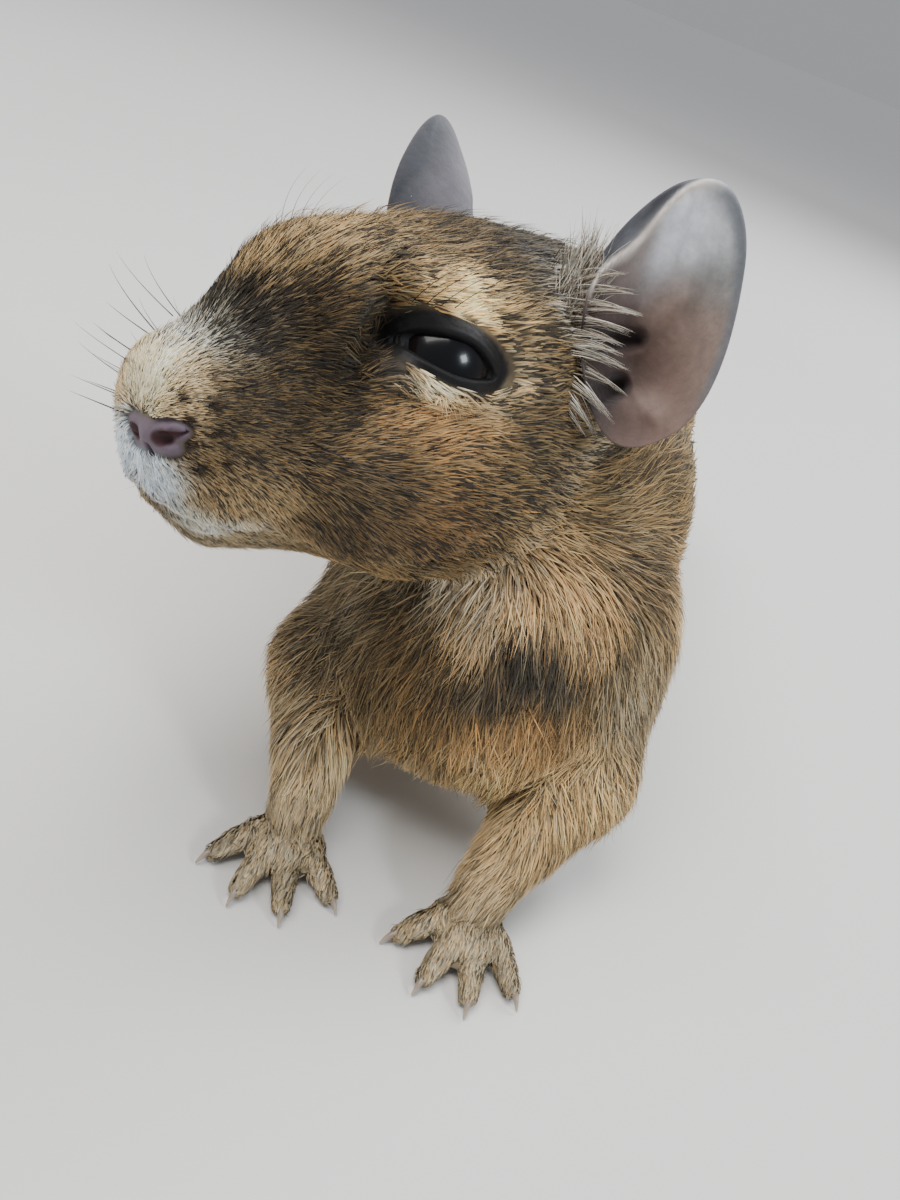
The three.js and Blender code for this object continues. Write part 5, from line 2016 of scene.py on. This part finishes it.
def tuft_colours(root_place: Array, p: Array, rng: np.random.Generator) -> Array:
    """Display colours from root to tip: banded, ticked with black, as the markings say, and darker towards
    the root, partly the hair's own dark base and partly painted shade deep in the coat.

    Args:
        root_place: The tufts' roots.
        p: The places that the tufts cover.
        rng: The seeded source of chance.

    Returns:
        Three colours a tuft.
    """
    colour, dark = markings(p)
    count = len(p)
    streak = noise(root_place, 0.8, 31)
    tick = rng.random(count) < dark * (1 - 0.8 * streak)
    shade = rng.normal(1.0, 0.1, count)[:, None]
    warm = rng.normal(0, 0.04, count)[:, None] * np.array([1.0, 0.1, -1.2])
    light = colour * 1.3 * shade * (1 + warm)
    head = head_side(root_place, 8.0)
    black = Paint.BLACK_TICK.rgb() * shade + mix(0.36, 0.24, head)[:, None] * colour
    # Roots darker than the middles and tips: partly the hairs' own dark base, partly painted shade in the
    # gaps between tufts.
    depth = mix(0.62, 0.45, head)[:, None]
    root = np.where(tick[:, None], black, light * depth)
    short = ((1 - head) * (rng.random(count) < 0.75) > 0.5)[:, None]
    middle = np.where(tick[:, None], np.where(short, 0.45 * light + 0.4 * black, black), light * 0.9)
    root = np.where(short, light * depth, root)
    tip = np.where(tick[:, None], black * 0.9, light * rng.uniform(1.0, 1.25, count)[:, None])
    band = (~tick) & (rng.random(count) < 0.5 * dark)
    tip = np.where(band[:, None], black, tip)
    return np.stack([root, middle, tip], axis=1)


@dataclass
class Coat:
    """The whole coat: a total of tufts all over the skin, in pieces by the part of the body."""

    skin: bpy.types.Object
    most_in_piece: int = 32000
    total: int = 240000

    def roots(self, rng: np.random.Generator) -> tuple[Array, Array]:
        """Where tufts grow: spread over the skin as densely as their style asks.

        Args:
            rng: The seeded source of chance.

        Returns:
            The roots and the skin's directions there.
        """
        mesh = self.skin.data
        mesh.calc_loop_triangles()
        co = read(mesh.vertices, "co", 3).astype(float) / MM - SHIFT
        normal = read(mesh.vertices, "normal", 3).astype(float)
        corners = read(mesh.loop_triangles, "vertices", 3, np.int32)
        a, b, c = (co[corners[:, k]] for k in range(3))
        area = 0.5 * np.linalg.norm(np.cross(b - a, c - a), axis=-1)
        middle = (a + b + c) / 3
        style = styled(middle)
        wanted = area * style.cover / (0.6 * style.length * style.width)
        wanted *= self.total / wanted.sum()
        number = np.floor(wanted + rng.random(len(wanted))).astype(int)
        owner = np.repeat(np.arange(len(number)), number)
        u, v = rng.random(len(owner)), rng.random(len(owner))
        over = u + v > 1
        u, v = np.where(over, 1 - u, u), np.where(over, 1 - v, v)
        weights = np.stack([1 - u - v, u, v], axis=-1)[..., None]
        root = np.sum(co[corners[owner]] * weights, axis=1)
        out = unit(np.sum(normal[corners[owner]] * weights, axis=1))
        zones = bare_zones(root)
        bare = np.maximum.reduce([zones[k] for k in ("nose", "nostril", "lid", "groove")])
        bare = np.maximum(bare, 0.8 * zones["lip"])
        keep = rng.random(len(root)) > bare * 1.6
        keep &= (root[:, 2] > 0.5) | (root[:, 1] > 96)
        for ear in EARS:
            out_way, up, facing = ear.axes()
            seat = HEAD.into(root) - ear.origin()
            cup = (np.hypot(seat @ out_way, (seat @ up) * 0.8) < 3.4) & (np.abs(seat @ facing) < 4.5)
            keep &= ~cup
        return root[keep], out[keep]

    def tufts(self) -> Tufts:
        """Every tuft, with its lie bent by its neighbours' clumps."""
        rng = np.random.default_rng(SEED)
        root, normal = self.roots(rng)
        style = styled(root)
        way = lie(root, normal)
        side = np.cross(normal, way)
        head = head_side(root, 8.0)
        wild = (1 - ramp(-6, 16, root[:, 1])) * ramp(8, 15, root[:, 2]) * (1 - head)
        clump = 0.22 * noise(root, 1.3, 21) + (0.22 + 0.2 * wild) * noise(root, 4.5, 22)
        clump = clump * mix(1.0, 0.8, head) + rng.normal(0, 0.13, len(root)) * (1 + 0.9 * wild)
        way = unit(way + side * clump[:, None])
        length = style.length * rng.uniform(0.75, 1.2, len(root))
        width = style.width * rng.uniform(0.75, 1.25, len(root))
        rise = 0.55 + 0.5 * rng.random(len(root)) + 0.25 * noise(root, 1.2, 23)
        height = style.height * rise
        guard = rng.random(len(root)) < 0.07 + 0.05 * head
        length = np.where(guard, length * 1.35, length)
        width = np.where(guard, width * 0.5, width)
        crown = ramp(8, 16, HEAD.into(root)[:, 2]) * head
        height = np.where(guard, height + (0.35 + 0.75 * crown) * rng.random(len(root)), height)
        covered = root + way * (0.6 * length)[:, None]
        tufts = Tufts(root, normal, way, length, width, height, tuft_colours(root, covered, rng))
        return tufts.picked(~over_eye(tufts))

    def regions(self, p: Array) -> dict[str, Array]:
        """The parts of the body that share a coat piece.

        Args:
            p: The tufts' roots.

        Returns:
            For each part, which roots are in it.
        """
        head = head_side(p, 0.5) > 0.5
        left = HEAD.into(p)[:, 0] > 0
        tail = ~head & (p[:, 1] > 97)
        front = ~head & (p[:, 1] < 2)
        low_front = front & (p[:, 2] < 14)
        rear_low = ~head & ~tail & (p[:, 1] > 46) & (p[:, 2] < 20)
        torso = ~head & ~tail & ~front & ~rear_low
        return {
            "head_left": head & left,
            "head_right": head & ~left,
            "neck": front & ~low_front,
            "forelegs": low_front,
            "hindlegs": rear_low,
            "torso": torso,
            "tail": tail,
        }

    def wrap(self, region: str, p: Array) -> Array:
        """The skin's own unwrap: round and along the part of the body, within the unit square.

        Args:
            region: The part of the body.
            p: Points on the skin.

        Returns:
            A place on the map for each point.
        """
        if region.startswith("head"):
            h = HEAD.into(p)
            turn, along = np.arctan2(h[:, 2] - 1.5, h[:, 0]), h[:, 1]
            if region.endswith("right"):
                turn = np.arctan2(h[:, 2] - 1.5, -h[:, 0])
        elif region == "tail":
            along, place = tail_place(p)
            middle = TAIL_LINE[place]
            turn = np.arctan2(p[:, 2] - middle[:, 2], p[:, 0] - middle[:, 0])
        elif region == "neck":
            turn, along = np.arctan2(p[:, 1] - 2, p[:, 0] + 2), p[:, 2]
        elif region in ("forelegs", "hindlegs"):
            centre = -4.0 if region == "forelegs" else -5.3
            offset = p[:, 0] - centre
            along = p[:, 2] + p[:, 1]
            turn = np.arctan2(p[:, 2] - 7, np.abs(offset) - 13) + np.where(offset > 0, 2 * np.pi, 0)
        else:
            turn, along = np.arctan2(p[:, 2] - 28, p[:, 0] + 3), p[:, 1]
        flat = np.stack([turn, along], axis=-1)
        low, high = flat.min(0), flat.max(0)
        return 0.01 + 0.98 * (flat - low) / np.maximum(high - low, 1e-6)

    def build(self) -> list[bpy.types.Object]:
        """The coat's pieces."""
        tufts = self.tufts()
        made = []
        for region, inside in self.regions(tufts.root).items():
            members = np.flatnonzero(inside)
            order = members[np.argsort(tufts.root[members, 1], kind="stable")]
            parts = max(1, math.ceil(len(order) / self.most_in_piece))
            for k, part in enumerate(np.array_split(order, parts)):
                name = f"coat_{region}" + (f"_{k + 1}" if parts > 1 else "")
                chosen = tufts.picked(part)
                mesh = chosen.mesh(name, self.wrap(region, chosen.root))
                made.append(own(name, mesh, Finishes.FUR))
        return made


# Hairs that stand on their own


@dataclass(frozen=True)
class Whiskers:
    """The long tapered hairs of the muzzle and brow, and their joined mesh."""

    points: int = 9
    thickness: float = 0.07
    taper: float = 0.88
    brow_hairs: int = 4

    def paths(self) -> tuple[Array, Array]:
        """The line and the thickness of each whisker."""
        rng = np.random.default_rng(SEED + 1)
        roots = np.array(FOLLICLES) - [0.3, 0, 0]
        paths, sizes = [], []
        share = np.linspace(0, 1, self.points)
        droop = np.array((0.0, 0.8, -0.35))
        for flip in (mirrored((1, 1, 1), side) for side in SIDES):
            for root in roots:
                back = np.clip((root[1] - 2.0) / 12, 0, 1)
                length = mix(8.0, 20.0, back) * rng.uniform(0.75, 1.1)
                rise = 0.1 + 0.06 * (root[2] - 1) + rng.normal(0, 0.08)
                out = unit((0.95 - 0.1 * back, mix(-0.45, 0.35, back), rise))
                line = root + length * (share[:, None] * out + (share**2)[:, None] * 0.3 * droop)
                paths.append(HEAD.out(line * flip))
                sizes.append(self.thickness * rng.uniform(0.6, 1.1) * (1 - self.taper * share))
            for k in range(self.brow_hairs):
                root = np.array([9.4 + 0.5 * k, 17.5 + 1.1 * k, 12.6])
                out = unit((0.55, 0.15 + 0.1 * k, 0.85))
                line = root + 9 * (share[:, None] * out + (share**2)[:, None] * np.array([0.1, 0.5, -0.15]))
                paths.append(HEAD.out(line * flip))
                sizes.append(self.thickness * 0.6 * (1 - self.taper * share))
        return np.array(paths), np.array(sizes)

    def build(self) -> bpy.types.Object:
        """The whiskers as one piece."""
        mesh = strands("whiskers", *self.paths(), 5)
        paint(mesh, np.tile(Paint.BLACK_HAIR.rgb(), (len(mesh.vertices), 1)))
        return own("whiskers", mesh, Finishes.WHISKER)


@dataclass(frozen=True)
class EarHairs:
    """The pale hairs before each ear: some lie across its opening and a tuft stands at its front."""

    across: int = 300
    standing: int = 460
    locks: int = 11
    points: int = 6
    thickness: float = 0.05
    taper: float = 0.88
    step_back: float = 1.9
    top: float = 8.4
    bottom: float = -2.6

    def line(self, ear: Ear, rng: np.random.Generator, crossing: bool) -> Array:
        """The line of one hair.

        Args:
            ear: The ear that it belongs to.
            rng: The seeded source of chance.
            crossing: Whether it lies across the opening.

        Returns:
            Its points.
        """
        share = np.linspace(0, 1, self.points)[:, None]
        if crossing:
            lock = rng.integers(self.locks)
            t = (lock + 0.5) / self.locks + 0.025 * math.sin(5.1 * lock)
            front = ear.hairs_from
            seat = np.array([mix(front, front + self.step_back, t), mix(self.top, self.bottom, t)])
            start = seat + [rng.normal(0, 0.6), rng.normal(0, 0.42)]
            reach = 4.6 + 1.5 * math.sin(math.pi * t) + 0.9 * math.sin(7.3 * lock)
            reach = reach * rng.uniform(0.72, 1.0)
            heading = mix(0.5, -0.62, t) + 0.14 * math.sin(11.7 * lock)
            aim = seat + reach * np.array([math.cos(heading), math.sin(heading)]) + rng.normal(0, 0.12, 2)
            heading = math.atan2(aim[1] - start[1], aim[0] - start[0])
            reach = math.hypot(aim[0] - start[0], aim[1] - start[1])
            depth = (rng.uniform(-2.2, -0.8), 0.4 * math.sin(4.1 * lock) + rng.uniform(-0.7, 0.3))
        else:
            start = np.array([rng.normal(-4.6, 0.9), rng.uniform(4.0, 10.0)])
            reach = rng.uniform(2.4, 5.2)
            heading = rng.normal(1.45, 0.26) + 0.1 * (start[0] + 4.6)
            depth = (rng.uniform(-3.4, -1.4), rng.uniform(-2.4, -0.2))
        end = start + reach * np.array([math.cos(heading), math.sin(heading)])
        place = mix(start, end, share) + share * (1 - share) * np.array([0.0, 1.0])
        lift = mix(depth[0], depth[1], share[:, 0]) + 0.9 * np.sin(math.pi * share[:, 0])
        return ear.at(place[:, 0], place[:, 1], lift)

    def build(self, ear: Ear) -> bpy.types.Object:
        """The hairs of one ear as one piece.

        Args:
            ear: The ear that they stand before.

        Returns:
            The piece.
        """
        name = side_name(ear.side)
        rng = np.random.default_rng(SEED + 3 + ear.side)
        taper = 1 - self.taper * np.linspace(0, 1, self.points)
        across, standing = (self.across, self.standing) if ear.side > 0 else (self.across // 3, 0)
        count = across + standing
        paths = np.array([self.line(ear, rng, k < across) for k in range(count)])
        sizes = self.thickness * rng.uniform(0.6, 1.2, (count, 1)) * taper
        pale = rng.random((count, 1)) < 0.62
        tones = np.where(pale, Paint.PALE_HAIR.rgb(), Paint.BROWN_HAIR.rgb())
        tones = tones * rng.uniform(0.82, 1.15, (count, 1))
        mesh = strands(f"ear_hairs_{name}", paths, sizes, 3)
        paint(mesh, np.repeat(tones, len(mesh.vertices) // count, axis=0))
        return own(f"ear_hairs_{name}", mesh, Finishes.WHISKER)


@dataclass(frozen=True)
class Claws:
    """The claws of the four feet: short curved horn cones."""

    points: int = 7
    sides: int = 8

    def build(self) -> bpy.types.Object:
        """The claws as one piece."""
        share = np.linspace(0, 1, self.points)
        paths, sizes = [], []
        for digit in DIGITS:
            forward = headed(digit.heading)
            tip = digit.at(0.98, digit.radius * 0.95)
            arch = tip + forward * CLAW_LENGTH * 0.6 + [0, 0, 0.25]
            end = tip + forward * CLAW_LENGTH
            end[2] = 0.3
            paths.append([(1 - t) ** 2 * tip + 2 * t * (1 - t) * arch + t * t * end for t in share])
            sizes.append(mix(0.52, 0.1, share**1.3) * (digit.radius / TOE_RADIUS) ** 0.5)
        mesh = strands("claws", np.array(paths), np.array(sizes), self.sides)
        tone = mix(Paint.CLAW_ROOT.rgb(), Paint.CLAW_TIP.rgb(), share[:, None])
        rings = np.repeat(tone, self.sides, axis=0)
        paint(mesh, np.tile(np.vstack([rings, tone[[0, -1]]]), (len(paths), 1)))
        return own("claws", mesh, Finishes.CLAW)


@dataclass(frozen=True)
class Brush:
    """The black brush at the end of the tail, in place of the solid's locks."""

    bristles: int = 1500
    span: tuple[float, float] = (0.77, 0.995)
    length: float = 18.5

    def build(self) -> bpy.types.Object:
        """The brush as one piece of long bristles."""
        rng = np.random.default_rng(SEED + 2)
        line = TAIL.line(12)
        t = np.clip(rng.uniform(*self.span, self.bristles) ** 0.8, *self.span)
        where = t * (len(line) - 1)
        first = np.minimum(where.astype(int), len(line) - 2)
        root = mix(line[first], line[first + 1], (where - first)[:, None])
        forward = unit(line[first + 1] - line[first])
        aside = unit(np.cross([0, 0, 1.0], forward))
        up = np.cross(forward, aside)
        angle = rng.uniform(-0.6, math.pi + 0.6, self.bristles)
        outward = aside * np.cos(angle)[:, None] + up * np.sin(angle)[:, None]
        length = self.length * rng.uniform(0.7, 1.08, self.bristles)
        spread = rng.uniform(0.08, 0.36, self.bristles)
        share = np.linspace(0, 1, 5)
        fan = spread[:, None] * length[:, None] * share**0.8 * (1 - 0.42 * share)
        reach = 0.6 * TAIL.radius(t)[:, None] + fan
        paths = root[:, None] + forward[:, None] * (share[:, None] * length[:, None, None])
        paths = paths + outward[:, None] * reach[..., None]
        floor = 0.35 + 0.5 * rng.random(self.bristles)
        paths[..., 2] = np.maximum(paths[..., 2], floor[:, None])
        sizes = 0.19 * rng.uniform(0.7, 1.2, self.bristles)[:, None] * (1 - 0.8 * share**1.5)
        mesh = strands("tail_brush", paths, sizes, 3)
        black = rng.random((self.bristles, 1)) < 0.85
        tone = np.where(black, Paint.BLACK_HAIR.rgb(), Paint.BROWN_BRISTLE.rgb())
        each = len(mesh.vertices) // self.bristles
        paint(mesh, np.repeat(tone, each, axis=0))
        low, high = self.span
        places = np.stack([angle / (2 * math.pi) + 0.2, (t - low) / (high - low)], -1)
        places = 0.01 + 0.98 * np.clip(places, 0, 1)
        jitter = BAKE_PATCH * (rng.random((len(mesh.vertices), 2)) - 0.5)
        flat = np.repeat(places, each, axis=0) + jitter
        corners = read(mesh.loops, "vertex_index", 1, np.int32)[:, 0]
        bake_map(mesh, flat[corners])
        return own("tail_brush", mesh, Finishes.FUR)


# The studio


@dataclass(frozen=True)
class Lamp:
    """A soft box: where it stands from the head, in the animal's millimetres, its width and its power."""

    name: str
    offset: Point
    width: float
    power: float
    tone: Point = (1.0, 1.0, 1.0)

    def build(self, aim: Array) -> None:
        """The soft box, turned to the head.

        Args:
            aim: The place that it lights.
        """
        data = bpy.data.lights.new(self.name, "AREA")
        data.shape = "SQUARE"
        data.size = self.width * MM
        data.energy = self.power
        data.color = self.tone
        lamp = shown(self.name, data)
        place = Vector(placed(aim + np.array(self.offset)))
        lamp.location = place
        lamp.rotation_euler = (Vector(placed(aim)) - place).to_track_quat("-Z", "Y").to_euler()


@dataclass(frozen=True)
class Studio:
    """The floor, the light of the room and its wall, the lamps, and the camera at the photograph's view."""

    eye: Point = (-8, -105, 86)
    right: Point = (0.928, 0.197, 0.315)
    forward: Point = (0, 0.848, -0.53)
    lens: float = 30.0
    room: float = 0.42
    wall: float = 0.39
    # The floor's near and far tones: painted light, darker under the lamps and paler where their light falls
    # off.
    floor_painted_light_tones: tuple[tuple[float, ...], ...] = ((0.62, 0.61, 0.59, 1), (0.98, 0.96, 0.93, 1))
    lamps: tuple[Lamp, ...] = (
        Lamp("key_light", (-160, -60, 500), 420, 5.2, (1.0, 0.98, 0.95)),
        Lamp("window_light", (432, -165, 310), 120, 1.5, (0.84, 0.92, 1.0)),
        Lamp("rim_light", (260, 420, 380), 300, 3.2, (0.94, 0.97, 1.0)),
    )

    def camera(self) -> None:
        """The camera, with no tilt of its own beyond the photograph's."""
        forward = unit(self.forward)
        right = np.array(self.right, float)
        right = unit(right - (right @ forward) * forward)
        up = np.cross(right, forward)
        data = bpy.data.cameras.new("camera")
        data.sensor_width = 36.0
        data.lens = self.lens
        data.clip_start = 0.01
        camera = shown("camera", data)
        axes = Matrix([[right[i], up[i], -forward[i]] for i in range(3)])
        camera.matrix_world = Matrix.Translation(Vector(placed(self.eye))) @ axes.to_4x4()
        bpy.context.scene.camera = camera

    def floor(self) -> None:
        """The pale floor, darker near its middle and paler far off: painted light that stands in for the
        lamps' light falling off with distance.
        """
        bm = bmesh.new()
        bmesh.ops.create_grid(bm, x_segments=1, y_segments=1, size=40.0)
        mesh = meshed("floor", bm)
        floor = shown("floor", mesh)
        made = bpy.data.materials.new("floor")
        made.use_nodes = True
        tree = made.node_tree
        place = add_node(tree, "TexCoord", {}).outputs["Object"]
        # Paler with distance from the middle: painted light in place of the lamps' falloff.
        reach = add_node(tree, "VectorMath", {0: place}, operation="LENGTH").outputs["Value"]
        far = add_node(tree, "MapRange", {"Value": reach, "From Min": 0.2, "From Max": 0.9})
        tone = add_node(tree, "ValToRGB", {"Fac": far.outputs["Result"]})
        for element, colour in zip(tone.color_ramp.elements, self.floor_painted_light_tones):
            element.color = colour
        feed(tree, tree.nodes["Principled BSDF"], {"Roughness": 0.9, "Base Color": tone.outputs["Color"]})
        mesh.materials.append(made)

    def build(self) -> None:
        """The whole studio."""
        self.camera()
        self.floor()
        aim = HEAD.out(np.array([8.0, 20.0, 4.0]))
        for lamp in self.lamps:
            lamp.build(aim)
        world = bpy.data.worlds.new("soft_room")
        world.use_nodes = True
        tree = world.node_tree
        room = tree.nodes["Background"]
        feed(tree, room, {"Color": (0.9, 0.93, 1.0, 1), "Strength": self.room})
        wall = add_node(tree, "Background", {"Color": (0.9, 0.92, 0.95, 1), "Strength": self.wall})
        seen = add_node(tree, "LightPath", {}).outputs["Is Camera Ray"]
        sides = {"Fac": seen, 1: room.outputs["Background"], 2: wall.outputs["Background"]}
        either = add_node(tree, "MixShader", sides).outputs["Shader"]
        feed(tree, tree.nodes["World Output"], {"Surface": either})
        bpy.context.scene.world = world


def main() -> None:
    """Builds the animal and its studio."""
    logging.basicConfig(level=logging.INFO, format="%(relativeCreated)6.0f ms %(message)s")
    Studio().build()
    skin = Skin().build()
    for ear in EARS:
        ear.build()
    for side in SIDES:
        Eye(side).build()
    Coat(skin).build()
    for ear in EARS:
        EarHairs().build(ear)
    Whiskers().build()
    Claws().build()
    Brush().build()


if __name__ == "__main__":
    main()
